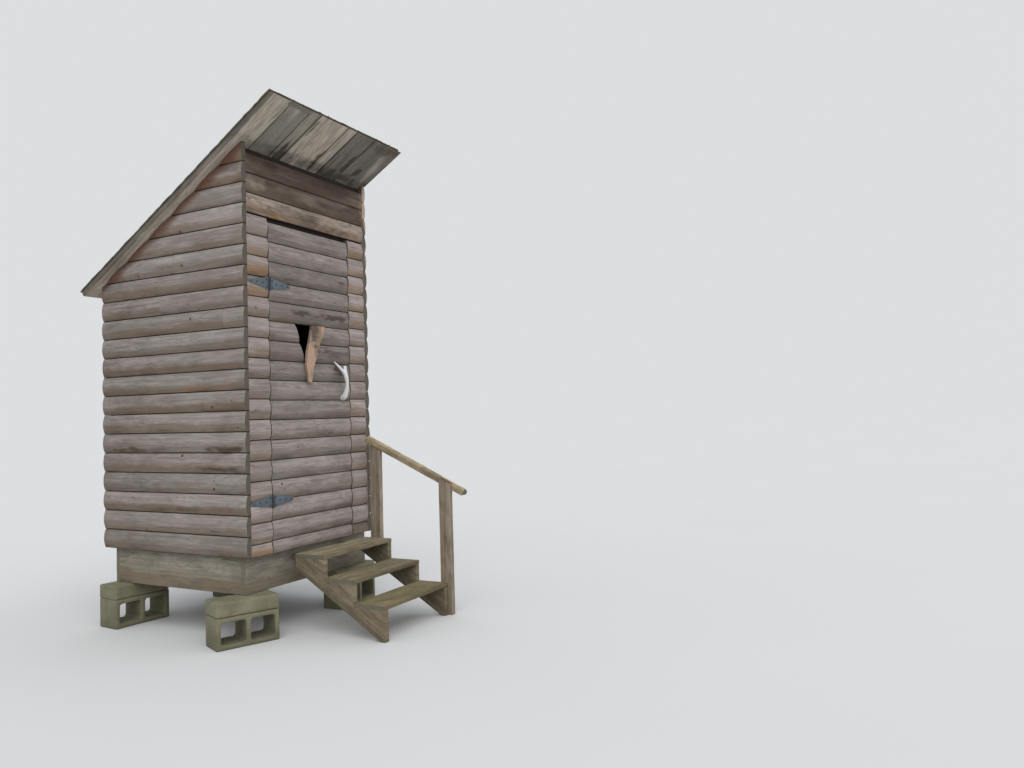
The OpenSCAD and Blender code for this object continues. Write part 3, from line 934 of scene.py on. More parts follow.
def wood_group(figure: Shared) -> Shared:
    """Weathered wood: silver on top of each board, brown underneath, with stains, mould and dirt, painted
    shade at each board's foot and in its joints, and a painted highlight in pale patches on top.

    Args:
        figure: The group of the board's figure.

    Returns:
        The group.
    """
    g = Shared("weathered wood", Wood("wood").inputs(), {"Color": "Color", "Roughness": "Float",
                                                         "Height": "Float"})
    given = g.given
    fig = figure.use(g, Knots=given["Knots"], Checks=given["Checks"]).outputs
    u, v = g.marks("grain")
    across, cut = g.marks("place")
    seed, darkness, warmth, tint = g.board()
    seed = g.times(seed, 37.0)
    around = g.place()

    def patch(along: float, wide: float, detail: float, low: float, high: float, apart: float) -> Socket:
        """Patches on the board, drawn out along it, from a noise of their own."""
        at = g.join(g.times(u, along), g.times(v, wide), g.plus(seed, apart))
        return g.step(g.noise(at, 1.0, detail, 0.6), low, high)

    each = g.step(g.noise(g.join(0.0, 0.0, g.times(seed, 5.0)), 1.0, 1.0), 0.35, 0.62, 0.4, 1.0)
    waver = g.math("MULTIPLY_ADD", patch(2.6, 7.0, 4.0, 0.2, 0.8, 9.0), 0.36, g.minus(across, 0.18))

    # Colour of the surface: silver above with pale patches, partly a painted highlight, olive brown below,
    # then stains
    colour = g.mix(fig["Streak"], given["Silver"], given["Grey"])
    colour = g.mix(g.times(tint, patch(2.0, 8.0, 3.0, 0.15, 0.6, 27.0)), colour, given["Tint"])
    # Pale patches on the upper part of each board: bleached wood, and partly a painted highlight where it
    # faces the sky
    pale = g.times(patch(9.0, 26.0, 3.0, 0.50, 0.70, 61.0), g.step(across, 0.2, 0.6, 0.0, 0.42))
    bleached_and_highlight = g.fill(g.add("VectorMath", operation="SCALE"), {0: given["Silver"], "Scale": 1.27})
    colour = g.mix(g.times(pale, g.minus(1.0, tint)), colour, bleached_and_highlight.outputs[0])
    line = given["Line"]
    lower = g.step(waver, g.minus(line, 0.16), g.plus(line, 0.10), 1.0, 0.0)
    colour = g.mix(g.times(lower, given["Underside"], each), colour, given["Under"])
    stained = g.times(patch(1.8, 7.0, 2.0, 0.56, 0.76, 15.0), given["Stains"],
                      g.step(across, 0.1, 0.75, 1.0, 0.1))
    warm = g.times(warmth, patch(2.6, 9.0, 3.0, 0.15, 0.6, 21.0), g.step(waver, 0.22, 0.68, 1.0, 0.12))
    colour = g.mix(g.math("MAXIMUM", stained, warm), colour, given["Warm"])

    # Darker figure, mottle, the board's dark tone (which holds the spots' painted shade), painted shadow at
    # each board's foot, and shelter over it
    colour = g.mix(g.times(fig["Rings"], given["Rings"]), colour, given["Under"])
    mottle = g.times(patch(4.5, 15.0, 3.0, 0.40, 0.72, 51.0), given["Mottle"])
    broad = g.times(g.step(g.noise(around, 1.9, 3.0, 0.6), 0.34, 0.66), 0.16)
    shade = g.times(darkness, patch(2.4, 11.0, 4.0, 0.14, 0.60, 4.0))
    # Painted shadow along the foot of each board, beneath its belly
    foot = g.times(g.step(waver, 0.02, 0.20, 1.0, 0.0), patch(3.4, 3.0, 2.0, 0.42, 0.62, 71.0),
                   given["Underside"], 0.75)
    for amount in (g.times(fig["Fibre"], 0.22), mottle, broad, shade, foot):
        colour = g.mix(amount, colour, given["Dark"])
    below = g.vector("DOT_PRODUCT", around, tuple(-OFF_ROOF))
    below = g.plus(below, PLAN.under_roof(PLAN.middle_y) * math.cos(PLAN.pitch))
    below = g.plus(below, g.times(patch(3.0, 3.0, 3.0, 0.2, 0.8, 41.0), -0.05))
    colour = g.mix(g.times(g.step(below, 0.0, 0.065, 1.0, 0.0), given["Eaves"]), colour, (98, 66, 50))
    colour = g.mix(g.times(patch(7.0, 18.0, 4.0, 0.5, 0.68, 33.0), given["Mould"]), colour, given["Dark"])
    colour = g.mix(g.times(fig["Knot"], 0.85), colour, (74, 56, 44))

    # Cut ends, checks, and dark lines along each board's edges: painted shade in the joints, with dirt
    joint = g.step(g.math("ABSOLUTE", g.minus(across, 0.5)), 0.448, 0.497)
    pores = g.noise(g.join(g.times(u, 160.0), g.times(v, 160.0), seed), 1.0, 3.0)
    end_wood = g.mix(pores, given["Cut"], given["Dark"])
    end_wood = g.mix(g.step(warmth, 0.6, 1.4), end_wood, (168, 149, 134))
    colour = g.mix(cut, colour, end_wood)
    cracks_and_joint_shade = g.math("MAXIMUM", g.times(fig["Check"], 0.8), g.times(joint, given["Groove"]))
    g.feed(g.result["Color"], g.mix(cracks_and_joint_shade, colour, (44, 32, 25)))
    g.feed(g.result["Roughness"], g.math("MULTIPLY_ADD", fig["Streak"], 0.14, 0.74))
    height = g.times(fig["Fibre"], -0.30)
    for part, amount in (("Streak", -0.45), ("Rings", 0.35), ("Check", -1.4), ("Knot", -0.3)):
        height = g.plus(height, g.times(fig[part], amount))
    g.feed(g.result["Height"], height)
    return g


def growth_group() -> Shared:
    """Moss and algae over another colour: where it grows, its colour and its height.

    Returns:
        The group.
    """
    g = Shared("moss and algae", {"Base": (124, 124, 124), "Algae": (96, 98, 66), "Moss": (98, 104, 34),
                                  "Low": 0.45, "High": 0.7, "Film": 0.5},
               {"Color": "Color", "Height": "Float"})
    given = g.given
    where = g.place()
    grown = g.step(g.noise(where, 9.0, 4.0, 0.62), given["Low"], given["High"])
    film = g.times(g.step(g.noise(where, 3.1, 3.0, 0.6), 0.3, 0.65), given["Film"])
    tuft = g.noise(where, 260.0, 2.0, 0.7)
    colour = g.mix(film, given["Base"], given["Algae"])
    moss = g.mix(tuft, given["Moss"], (132, 126, 74))
    g.feed(g.result["Color"], g.mix(grown, colour, moss))
    g.feed(g.result["Height"], g.times(grown, g.plus(tuft, 0.6)))
    return g


def blank(name: str) -> tuple[Material, Graph, Node]:
    """Start a material.

    Args:
        name: Its name.

    Returns:
        The material, its tree and its shader.
    """
    material = bpy.data.materials.new(name)
    material.use_nodes = True
    tree = material.node_tree
    return material, Graph(tree), tree.nodes["Principled BSDF"]


def dress(g: Graph, shader: Node, colour: Fed, rough: Fed, height: Socket, depth: float) -> None:
    """Give a shader its colour, its roughness and a relief.

    Args:
        g: The material's tree.
        shader: The shader.
        colour: Its colour.
        rough: Its roughness.
        height: The relief, 0 to about 1.
        depth: How deep the relief is, in metres.
    """
    bump = g.fill(g.add("Bump"), {"Distance": depth, "Strength": 0.9, "Height": height})
    g.fill(shader, {"Base Color": colour, "Roughness": rough, "Normal": bump.outputs[0]})


@dataclass(frozen=True)
class Wood:
    """A weathered wood finish."""

    name: str
    silver: Colour = (186, 180, 175)
    grey: Colour = (150, 143, 138)
    dark: Colour = (92, 84, 77)
    under: Colour = (122, 102, 84)
    warm: Colour = (178, 122, 80)
    tint: Colour = (96, 100, 96)
    cut: Colour = (128, 122, 106)
    knots: float = 0.25
    checks: float = 0.6
    # Underside sets the brown of each board's lower part and the painted shadow at its foot
    underside: float = 0.8
    stains: float = 0.35
    mould: float = 0.25
    # Groove sets how dark the board's edges are: painted shade in the joints, with dirt
    groove: float = 1.0
    rings: float = 0.25
    eaves: float = 0.0
    line: float = 0.42
    mottle: float = 0.2
    moss: float = 0.0
    film: float = 0.0

    def inputs(self) -> dict[str, Fed]:
        """The values that the shared group takes, by the names of its inputs."""
        names = [field.name for field in fields(self) if field.name not in ("name", "moss", "film")]
        return {name.title(): getattr(self, name) for name in names}

    def make(self, wood: Shared, growth: Shared) -> Material:
        """Build the material from the shared groups.

        Args:
            wood: The group of weathered wood.
            growth: The group of moss and algae.

        Returns:
            The material.
        """
        material, g, shader = blank(self.name)
        node = wood.use(g, **self.inputs())
        colour, height = node.outputs["Color"], node.outputs["Height"]
        if self.moss or self.film:
            over = growth.use(g, Base=colour, Low=0.78 - self.moss * 0.5, High=0.9 - self.moss * 0.45,
                              Film=self.film)
            colour = over.outputs["Color"]
            height = g.plus(height, g.times(over.outputs["Height"], 1.5))
        dress(g, shader, colour, node.outputs["Roughness"], height, 0.0016)
        shader.inputs["Specular IOR Level"].default_value = 0.28
        return material


@dataclass(frozen=True)
class Concrete:
    """Rough cast concrete with sand, pits, damp and a green film."""

    shadow: Colour = (110, 105, 87)
    light: Colour = (140, 134, 112)
    patches: Colour = (104, 99, 78)
    pit: Colour = (60, 60, 50)
    damp: Colour = (74, 74, 56)
    damp_height: float = 0.16

    def make(self, growth: Shared) -> Material:
        """Build the material.

        Args:
            growth: The group of moss and algae.

        Returns:
            The material.
        """
        material, g, shader = blank("rough concrete")
        at = g.place()
        sand = g.noise(at, 420.0, 3.0, 0.7)
        pits = g.fill(g.add("TexVoronoi", feature="F1"), {"Vector": at, "Scale": 130.0})
        hole = g.step(pits.outputs["Distance"], 0.12, 0.34, 1.0, 0.0)
        hole = g.times(hole, g.step(g.noise(at, 40.0, 2.0), 0.45, 0.6))
        colour = g.mix(sand, self.shadow, self.light)
        colour = g.mix(g.step(g.noise(at, 7.0, 4.0, 0.6), 0.35, 0.7), colour, self.patches)
        colour = g.mix(g.times(hole, 0.7), colour, self.pit)
        wet = g.times(g.step(g.split(at)[2], 0.0, self.damp_height, 1.0, 0.0), 0.55)
        colour = g.mix(wet, colour, self.damp)
        over = growth.use(g, Base=colour, Low=0.62, High=0.8, Film=0.28).outputs
        height = g.minus(g.times(sand, 0.7), hole)
        height = g.plus(height, g.times(over["Height"], 1.2))
        dress(g, shader, over["Color"], g.step(sand, 0.2, 0.8, 0.82, 0.95), height, 0.0022)
        return material


@dataclass(frozen=True)
class Felt:
    """Roll covering with mineral grit, gone mossy."""

    shadow: Colour = (66, 66, 60)
    light: Colour = (116, 114, 104)
    algae: Colour = (92, 92, 70)
    moss: Colour = (92, 88, 58)

    def make(self, growth: Shared) -> Material:
        """Build the material.

        Args:
            growth: The group of moss and algae.

        Returns:
            The material.
        """
        material, g, shader = blank("mossy roll covering")
        grit = g.noise(g.place(), 600.0, 2.0, 0.8)
        colour = g.mix(grit, self.shadow, self.light)
        over = growth.use(g, Base=colour, Low=0.46, High=0.64, Film=0.55, Algae=self.algae,
                          Moss=self.moss).outputs
        height = g.plus(g.times(grit, 0.4), g.times(over["Height"], 2.0))
        dress(g, shader, over["Color"], g.step(grit, 0.2, 0.8, 0.85, 0.97), height, 0.003)
        return material


@dataclass(frozen=True)
class Moss:
    """Tufts of olive moss."""

    shadow: Colour = (80, 78, 48)
    light: Colour = (138, 131, 82)
    dry: Colour = (98, 90, 70)

    def make(self) -> Material:
        """Build the material.

        Returns:
            The material.
        """
        material, g, shader = blank("olive moss")
        at = g.place()
        tuft = g.noise(at, 420.0, 3.0, 0.7)
        colour = g.mix(tuft, self.shadow, self.light)
        colour = g.mix(g.step(g.noise(at, 11.0, 3.0), 0.4, 0.65), colour, self.dry)
        dress(g, shader, colour, g.step(tuft, 0.2, 0.8, 0.9, 1.0), tuft, 0.004)
        return material


@dataclass(frozen=True)
class Iron:
    """Blue-black japanned iron with rust at its edges and in blooms."""

    shadow: Colour = (74, 91, 101)
    light: Colour = (103, 118, 129)
    rust_shadow: Colour = (50, 48, 54)
    rust_light: Colour = (80, 68, 66)
    worn: Colour = (34, 36, 44)

    def make(self) -> Material:
        """Build the material.

        Returns:
            The material.
        """
        material, g, shader = blank("blue-black iron")
        at = g.place()
        bloom = g.step(g.noise(at, 34.0, 4.0, 0.65), 0.5, 0.68)
        fine = g.noise(at, 380.0, 3.0, 0.7)
        edge = g.step(g.add("NewGeometry").outputs["Pointiness"], 0.51, 0.56)
        rust = g.math("MAXIMUM", g.times(bloom, 0.6), g.times(edge, 0.5))
        colour = g.mix(fine, self.shadow, self.light)
        colour = g.mix(rust, colour, g.mix(fine, self.rust_shadow, self.rust_light))
        colour = g.mix(g.board()[1], colour, self.worn)
        dress(g, shader, colour, g.step(rust, 0.0, 1.0, 0.48, 0.88), g.plus(fine, rust), 0.0006)
        g.feed(shader.inputs["Metallic"], g.step(rust, 0.0, 1.0, 0.2, 0.05))
        return material


@dataclass(frozen=True)
class Antler:
    """Bleached antler: pale grey, with fine grooves and creamy patches."""

    ridge: Colour = (226, 226, 228)
    groove: Colour = (178, 178, 180)
    cream: Colour = (196, 188, 176)

    def make(self) -> Material:
        """Build the material.

        Returns:
            The material.
        """
        material, g, shader = blank("bleached antler")
        at = g.place()
        x, y, z = g.split(at)
        drawn = g.join(g.times(x, 260.0), g.times(y, 260.0), g.times(z, 26.0))
        lines = g.noise(drawn, 1.0, 3.0, 0.6)
        colour = g.mix(lines, self.ridge, self.groove)
        colour = g.mix(g.step(g.noise(at, 38.0, 3.0), 0.5, 0.75), colour, self.cream)
        dress(g, shader, colour, g.step(lines, 0.2, 0.8, 0.42, 0.62), g.times(lines, -1.0),
              0.0012)
        return material


@dataclass(frozen=True)
class NailIron:
    """Rusting nail heads."""

    shadow: Colour = (52, 44, 40)
    light: Colour = (102, 78, 62)

    def make(self) -> Material:
        """Build the material.

        Returns:
            The material.
        """
        material, g, shader = blank("rusting nail heads")
        fine = g.noise(g.place(), 500.0, 3.0, 0.7)
        colour = g.mix(fine, self.shadow, self.light)
        dress(g, shader, colour, g.step(fine, 0.2, 0.8, 0.55, 0.85), fine, 0.0004)
        shader.inputs["Metallic"].default_value = 0.3
        return material


class Finishes:
    """All materials of the building, built once."""

    def __init__(self) -> None:
        """Build the shared groups and each finish from them."""
        wood = wood_group(grain_group())
        growth = growth_group()

        def make(name: str, **values: Any) -> Material:
            """One wood finish."""
            return Wood(name, **values).make(wood, growth)

        self.siding = make(
            "silver log siding", silver=(167, 159, 156), grey=(141, 133, 128), dark=(80, 68, 58),
            under=(110, 96, 78), warm=(146, 114, 88), tint=(112, 112, 98), cut=(90, 88, 79), mould=0.12,
            stains=0.2, rings=0.2, eaves=0.85)
        self.door = make(
            "door log siding", silver=(166, 156, 152), grey=(141, 132, 127), dark=(76, 66, 59),
            under=(104, 92, 80), warm=(142, 112, 88), tint=(104, 104, 90), stains=0.1, underside=0.55,
            rings=0.2, line=0.30, mottle=0.3, groove=0.75)
        self.strips = make(
            "short log siding", silver=(171, 161, 158), grey=(148, 138, 133), dark=(80, 66, 56),
            under=(124, 108, 88), warm=(158, 121, 86), tint=(82, 72, 58), mould=0.12, stains=0.06,
            rings=0.18, underside=0.62, line=0.36)
        self.header = make(
            "sheltered log siding", silver=(184, 170, 157), grey=(156, 142, 129), dark=(62, 49, 41),
            under=(112, 96, 76), warm=(172, 130, 92), tint=(88, 72, 64), mould=0.42, stains=0.25,
            rings=0.3, underside=0.6, knots=0.45, mottle=0.55)
        # Near-black timber as painted shade: the lintel, front top plate and door stop sit in the dark slot
        # and doorway
        self.painted_shade = make(
            "shaded timber", silver=(52, 42, 36), grey=(44, 36, 31), dark=(30, 25, 22),
            under=(38, 30, 26), cut=(50, 40, 34), underside=0.2, groove=0.0, mould=0.2, stains=0.0)
        self.frame = make(
            "bare sawn timber", silver=(144, 118, 92), grey=(122, 98, 75), dark=(80, 64, 50),
            under=(106, 82, 62), underside=0.2, groove=0.0, mould=0.2)
        self.skirt = make(
            "damp rim timber", silver=(166, 158, 146), grey=(136, 129, 118), dark=(84, 79, 69),
            under=(108, 98, 84), tint=(110, 110, 96), groove=0.0, stains=0.15, film=0.10, mould=0.4,
            mottle=0.4)
        self.planks = make(
            "roof planks", silver=(214, 203, 188), grey=(178, 168, 153), dark=(70, 62, 54),
            under=(128, 114, 98), warm=(124, 86, 62), tint=(136, 133, 126), cut=(78, 76, 52),
            underside=0.0, groove=0.55, stains=0.12, rings=0.3, mottle=0.25, mould=0.12, checks=0.9)
        self.treads = make(
            "mossy treads", silver=(166, 152, 124), grey=(136, 124, 98), dark=(62, 55, 42),
            under=(84, 76, 58), tint=(130, 118, 64), groove=0.25, underside=0.2, moss=0.12, film=0.12,
            stains=0.1, knots=0.35, mottle=0.5)
        self.stringers = make(
            "damp stringers", silver=(139, 127, 106), grey=(113, 102, 84), dark=(60, 52, 44),
            under=(92, 78, 60), groove=0.0, underside=0.1, film=0.10, mottle=0.4)
        self.posts = make(
            "weathered posts", silver=(166, 153, 136), grey=(128, 117, 102), dark=(72, 61, 50),
            groove=0.0, underside=0.0, film=0.08, checks=0.9, mottle=0.4)
        self.rail = make(
            "half-round rail", silver=(236, 218, 180), grey=(164, 147, 116), dark=(84, 72, 56),
            under=(110, 94, 72), groove=0.0, underside=0.6, film=0.05, checks=0.9, mottle=0.5)
        self.slab = make(
            "raw live-edge slab", silver=(216, 189, 168), grey=(190, 162, 141), dark=(72, 53, 44),
            under=(150, 116, 92), warm=(196, 140, 100), groove=0.0, underside=0.0, stains=0.25, mould=0.2,
            knots=0.5, rings=0.3)
        self.concrete = Concrete().make(growth)
        self.felt = Felt().make(growth)
        self.moss = Moss().make()
        self.iron = Iron().make()
        self.antler = Antler().make()
        self.nails = NailIron().make()

# The building


@dataclass
class Walls:
    """Log walls: three closed sides, two strips beside the door and a header over it."""

    finishes: Finishes
    yard: Yard
    left_joints: tuple[tuple[int, float], ...] = ((0, 1.09), (11, 0.182), (12, 0.749))
    right_joints: tuple[tuple[int, float], ...] = ((2, 0.7), (5, 0.4), (9, 0.95), (12, 0.55))
    joint_gap: float = 0.001
    sawn_from: int = 12
    header_tones: tuple[Tone, ...] = (Tone(0.12, 0.25, 0.0), Tone(0.42, 0.0, 0.85), Tone(0.42, 0.0, 1.0))
    left_strip: tuple[float, ...] = (0.9, 0.1, 0.0, 0.1, 0.0, 0.2, 0.1, 0.0, 0.1, 0.0, 0.6, 0.1, 0.1,
                                     0.7, 0.8, 0.3, 0.15)
    right_strip: tuple[float, ...] = (0.2, 0.0, 0.15, 0.0, 0.25, 0.2, 0.1, 0.25, 0.0, 0.2, 0.1, 0.1, 0.3,
                                      0.35, 0.5, 0.3, 0.5)
    spots: tuple[Spot, ...] = (
        Spot(0.0, 0.17, 0.668, (0.06, 0.20, 0.024), Tone(1.2)),
        Spot(0.0, 1.05, 0.668, (0.06, 0.26, 0.022), Tone(1.0)),
        Spot(0.0, 0.20, 0.802, (0.06, 0.18, 0.024), Tone(0.9)),
        Spot(0.0, 0.22, 0.546, (0.06, 0.26, 0.024), Tone(1.1)),
        Spot(0.0, 0.34, 1.062, (0.06, 0.36, 0.024), Tone(0.1, 1.0)),
        Spot(0.0, 0.20, 0.935, (0.06, 0.16, 0.020), Tone(0.1, 0.9)),
        Spot(0.0, 0.55, 0.290, (0.06, 0.30, 0.022), Tone(0.7)),
        Spot(0.0, 0.13, 2.45, (0.06, 0.12, 0.05), Tone(0.5, 0.4)),
        Spot(0.0, 1.342, 0.70, (0.10, 0.80, 1.20), Tone(0.30)),
    )
    right_spots: tuple[Spot, ...] = (
        Spot(1.24, 0.0, 2.42, (0.06, 0.05, 0.26), Tone(-0.3, 1.5)),
        Spot(1.24, 0.0, 2.02, (0.06, 0.05, 0.20), Tone(-0.2, 1.1)),
    )
    header_spots: tuple[Spot, ...] = (
        Spot(0.10, 0.0, 2.355, (0.14, 0.06, 0.060), Tone(-0.2, 0.0, -0.7)),
        Spot(0.40, 0.0, 2.240, (0.12, 0.06, 0.040), Tone(0.6)),
        Spot(0.62, 0.0, 2.215, (0.12, 0.06, 0.030), Tone(0.6)),
        Spot(0.95, 0.0, 2.190, (0.26, 0.06, 0.030), Tone(0.7)),
        Spot(0.30, 0.0, 2.185, (0.06, 0.06, 0.024), Tone(0.0, 1.6)),
        Spot(0.26, 0.0, 2.500, (0.07, 0.06, 0.040), Tone(1.2)),
        Spot(0.85, 0.0, 2.510, (0.12, 0.06, 0.040), Tone(0.9)),
        Spot(1.20, 0.0, 2.440, (0.035, 0.06, 0.16), Tone(-0.3, 1.2, -1.0)),
    )

    def wall(self, facing: Facing, name: str, corner: Vector, span: float, courses: int,
             joints: Callable[[int], list[float]], spots: Sequence[Spot] = ()) -> None:
        """Build a closed wall, its upper boards sawn off under the roof.

        Args:
            facing: The side that it shows.
            name: Its node.
            corner: Its left end at its foot, seen from outside.
            span: Its length.
            courses: Number of courses.
            joints: Gives the places of a course's butt joints, from the left end.
            spots: Places where the boards' tone changes.
        """
        piece = Piece(name + "_boards")
        for course in range(courses):
            low, high = course * PLAN.course, (course + 1) * PLAN.course
            cuts = [0.0, *joints(course), span]
            for start, end in zip(cuts, cuts[1:]):
                self.yard.log(piece, facing, corner + facing.run * start, end - start - self.joint_gap, low,
                              high, (low + high) / 2, PLAN.course, self.tone(course),
                              keep_under_roof=course >= self.sawn_from)
        piece.build(self.finishes.siding, nodes=[name], slot="log_wood", spots=spots)

    def tone(self, course: int) -> Tone:
        """A closed wall's board: green at the foot, warmer right under the roof.

        Args:
            course: Its course, counted from the foot.

        Returns:
            Its tone.
        """
        draw = self.yard.draw
        dark, warm = draw.uniform(0.0, 0.3), draw.uniform(0.0, 0.35)
        if course == 0:
            return Tone(0.2, 0.1, 0.5)
        if course >= 18:
            return Tone(0.15, 0.6)
        return Tone(dark, warm, draw.uniform(0.0, 0.2))

    def strip(self, name: str, x0: float, x1: float, warmth: Sequence[float], foot_tint: float) -> None:
        """Build a narrow strip of short boards beside the doorway.

        Args:
            name: Its node.
            x0: Its left edge.
            x1: Its right edge.
            warmth: How warm each board is, from the foot up.
            foot_tint: How tinted the lowest board is.
        """
        draw = self.yard.draw
        piece = Piece(name + "_boards")
        self.yard.stack(piece, (x0, x1), PLAN.front_first, PLAN.course, PLAN.head_height, -0.0015,
                        lambda k: Tone(draw.uniform(0.0, 0.3), warmth[k], 0.0 if k else foot_tint))
        piece.build(self.finishes.strips, nodes=[name], slot="log_wood")

    def header(self) -> None:
        """Build the courses over the doorway; the slot above them stays open to the plate."""
        piece = Piece("front_wall_header_boards")
        foot = PLAN.at(PLAN.log_thick, 0.0, PLAN.foot + PLAN.head_height)
        for course, tone in enumerate(self.header_tones):
            low = course * PLAN.header_course
            self.yard.log(piece, Facing.FRONT, foot, PLAN.width - 2 * PLAN.log_thick, low,
                          low + PLAN.header_course, low + PLAN.header_course / 2, PLAN.header_course, tone)
        piece.build(self.finishes.header, nodes=["front_wall_header"], slot="log_wood",
                    spots=self.header_spots)

    def build(self) -> None:
        """Build every wall."""
        thick = PLAN.log_thick
        for facing, name, x, y, joints, spots in (
                (Facing.LEFT, "left_wall", 0.0, PLAN.depth, dict(self.left_joints), self.spots),
                (Facing.RIGHT, "right_wall", PLAN.width, 0.0, dict(self.right_joints), self.right_spots)):
            self.wall(facing, name, PLAN.at(x, y, PLAN.foot), PLAN.depth, 20,
                      lambda course: [PLAN.depth - joints[course]] if course in joints else [], spots)
        self.wall(Facing.BACK, "back_wall", PLAN.at(PLAN.width - thick, PLAN.depth, PLAN.foot),
                  PLAN.width - 2 * thick, 15,
                  lambda course: [self.yard.draw.uniform(0.3, 0.8)] if course % 4 == 1 else [])
        self.strip("front_wall_left", thick, PLAN.jamb_left, self.left_strip, 0.0)
        self.strip("front_wall_right", PLAN.jamb_right, PLAN.width - thick, self.right_strip, 0.9)
        self.header()


@dataclass
class Door:
    """The door: a leaf of log boards on two battens, with its vent, slab, antler and hinges."""

    finishes: Finishes
    yard: Yard
    darks: tuple[float, ...] = (0.1, 0.15, 0.0, 0.1, 0.0, 0.1, 0.05, 0.3, 0.1, 0.4, 0.4, 0.25, 0.45, 0.25,
                                0.4, 0.0, 0.12)
    vent: tuple[Point, ...] = ((0.463, 1.4904), (0.5734, 1.1664), (0.739, 1.4904))
    slab_left: tuple[Point, ...] = ((0.560, 1.097), (0.552, 1.157), (0.541, 1.198), (0.542, 1.249),
                                    (0.552, 1.307), (0.568, 1.361), (0.584, 1.414), (0.598, 1.486))
    slab_right: tuple[Point, ...] = ((0.727, 1.486), (0.713, 1.429), (0.680, 1.373), (0.659, 1.303),
                                     (0.638, 1.260), (0.609, 1.195), (0.595, 1.122), (0.587, 1.095))
    spots: tuple[Spot, ...] = (
        Spot(0.86, 0.0, 1.560, (0.20, 0.06, 0.026), Tone(1.0)),
        Spot(0.53, 0.0, 1.565, (0.12, 0.06, 0.026), Tone(0.8)),
        Spot(0.34, 0.0, 1.500, (0.16, 0.06, 0.018), Tone(0.0, 0.8, 0.8)),
        Spot(0.90, 0.0, 1.195, (0.07, 0.06, 0.050), Tone(1.1)),
        Spot(0.84, 0.0, 1.310, (0.20, 0.06, 0.034), Tone(0.8)),
        Spot(0.50, 0.0, 1.765, (0.36, 0.06, 0.040), Tone(0.5)),
        Spot(0.95, 0.0, 1.820, (0.055, 0.06, 0.018), Tone(0.7, 1.0)),
        Spot(0.24, 0.0, 1.370, (0.04, 0.06, 0.060), Tone(0.2, 1.0)),
        Spot(0.30, 0.0, 2.060, (0.20, 0.06, 0.050), Tone(0.4)),
    )
    slab_spots: tuple[Spot, ...] = (
        # The first spot is a painted shadow, cast by the board above on the slab's upper left
        Spot(0.612, -0.012, 1.470, (0.075, 0.08, 0.160), Tone(1.9, 0.6)),
        Spot(0.712, -0.012, 1.440, (0.040, 0.08, 0.110), Tone(-0.6, 1.6)),
        Spot(0.655, -0.012, 1.316, (0.010, 0.06, 0.016), Tone(3.0)),
        Spot(0.580, -0.012, 1.150, (0.020, 0.06, 0.040), Tone(0.8)),
    )
    slab_thick: float = 0.024
    hinge_heights: tuple[tuple[str, float], ...] = (("upper_hinge", 1.728), ("lower_hinge", 0.331))
    strap_bolts: tuple[Point, ...] = ((0.024, 0.024), (0.024, -0.024), (0.062, 0.0), (0.112, 0.0),
                                      (0.162, 0.0))
    antler_foot: Point = (0.934, 1.508)
    beam: tuple[tuple[float, ...], ...] = (
        (0.004, 0.012, 0.009, 22), (0.000, -0.014, 0.010, 22), (-0.003, -0.026, 0.030, 19),
        (-0.005, -0.038, 0.049, 16), (-0.008, -0.047, 0.078, 13), (-0.011, -0.052, 0.106, 12.3),
        (-0.015, -0.052, 0.134, 13.5), (-0.020, -0.050, 0.158, 15.5), (-0.025, -0.047, 0.180, 15),
        (-0.019, -0.041, 0.208, 12.5), (-0.015, -0.036, 0.232, 10.5))
    tine: tuple[tuple[float, ...], ...] = (
        (-0.024, -0.048, 0.165, 12), (-0.036, -0.043, 0.190, 13), (-0.056, -0.034, 0.211, 11),
        (-0.075, -0.025, 0.233, 8), (-0.092, -0.017, 0.250, 5.6), (-0.102, -0.010, 0.263, 2.6))
    def leaf(self) -> None:
        """Build the boards of the leaf and cut the vent through them."""
        draw = self.yard.draw
        piece = Piece("door_boards")
        self.yard.stack(piece, (PLAN.leaf_left, PLAN.leaf_right), PLAN.door_first, PLAN.door_course,
                        PLAN.door_height, -0.001,
                        lambda k: Tone(self.darks[k], draw.uniform(0.0, 0.12), draw.uniform(0.0, 0.2)))
        obj = piece.build(self.finishes.door, "door", ["door_leaf"], "door_wood", spots=self.spots)
        cut_out(obj, self.vent_shape())

    def vent_shape(self) -> BMesh:
        """The prism that saws the vent out; what it cuts shows end wood.

        Returns:
            The prism.
        """
        bm = prism((PLAN.at(x, -0.05, z + PLAN.foot) for x, z in self.vent), Vector((0, 0.15, 0)))
        mark_grain(bm, 0.4, Tone(0.1, 0.5), 0.0, 1.0)
        place = bm.loops.layers.uv["place"]
        for face in bm.faces:
            for loop in face.loops:
                loop[place].uv = (0.5, 1.0)
        return bm

    def slab(self) -> None:
        """Build the raw slab that covers half of the vent."""
        outline = (PLAN.at(x, 0.0, z + PLAN.foot) for x, z in (*self.slab_left, *self.slab_right))
        bm = prism(outline, Vector((0, -self.slab_thick, 0)), in_triangles=True)
        obj = solid_from(bm, "vent_slab_board")
        remesh(obj, 0.0035, 2)
        shift = Vector((3.3, 7.1, 1.9))
        middle = PLAN.at(0, -self.slab_thick / 2).y
        for vert in obj.data.vertices:
            x, y, z = vert.co
            along = noise.noise(Vector((x * 60, y * 60, z * 9)) + shift)
            vert.co.x += 0.0020 * noise.noise(Vector((x * 18, 2.0, z * 28)) + shift)
            vert.co.y += 0.0016 * along if y < middle else 0.0
        remark(obj, 0.63, Tone(0.1, 0.1), Vector((0.22, 0.0, 1.0)).normalized())
        tone_stains_and_shade(obj.data, self.slab_spots)
        # Painted shade: the slab's faces that look sideways are made darker
        board = obj.data.color_attributes["board"].data
        for polygon in obj.data.polygons:
            for index in polygon.loop_indices if abs(polygon.normal.y) < 0.6 else ():
                seed, dark, warm, tint = board[index].color
                board[index].color = (seed, dark + 0.65, warm, tint)
        obj.data.materials.append(self.finishes.slab)
        declare(obj, "door", ["vent_slab"])

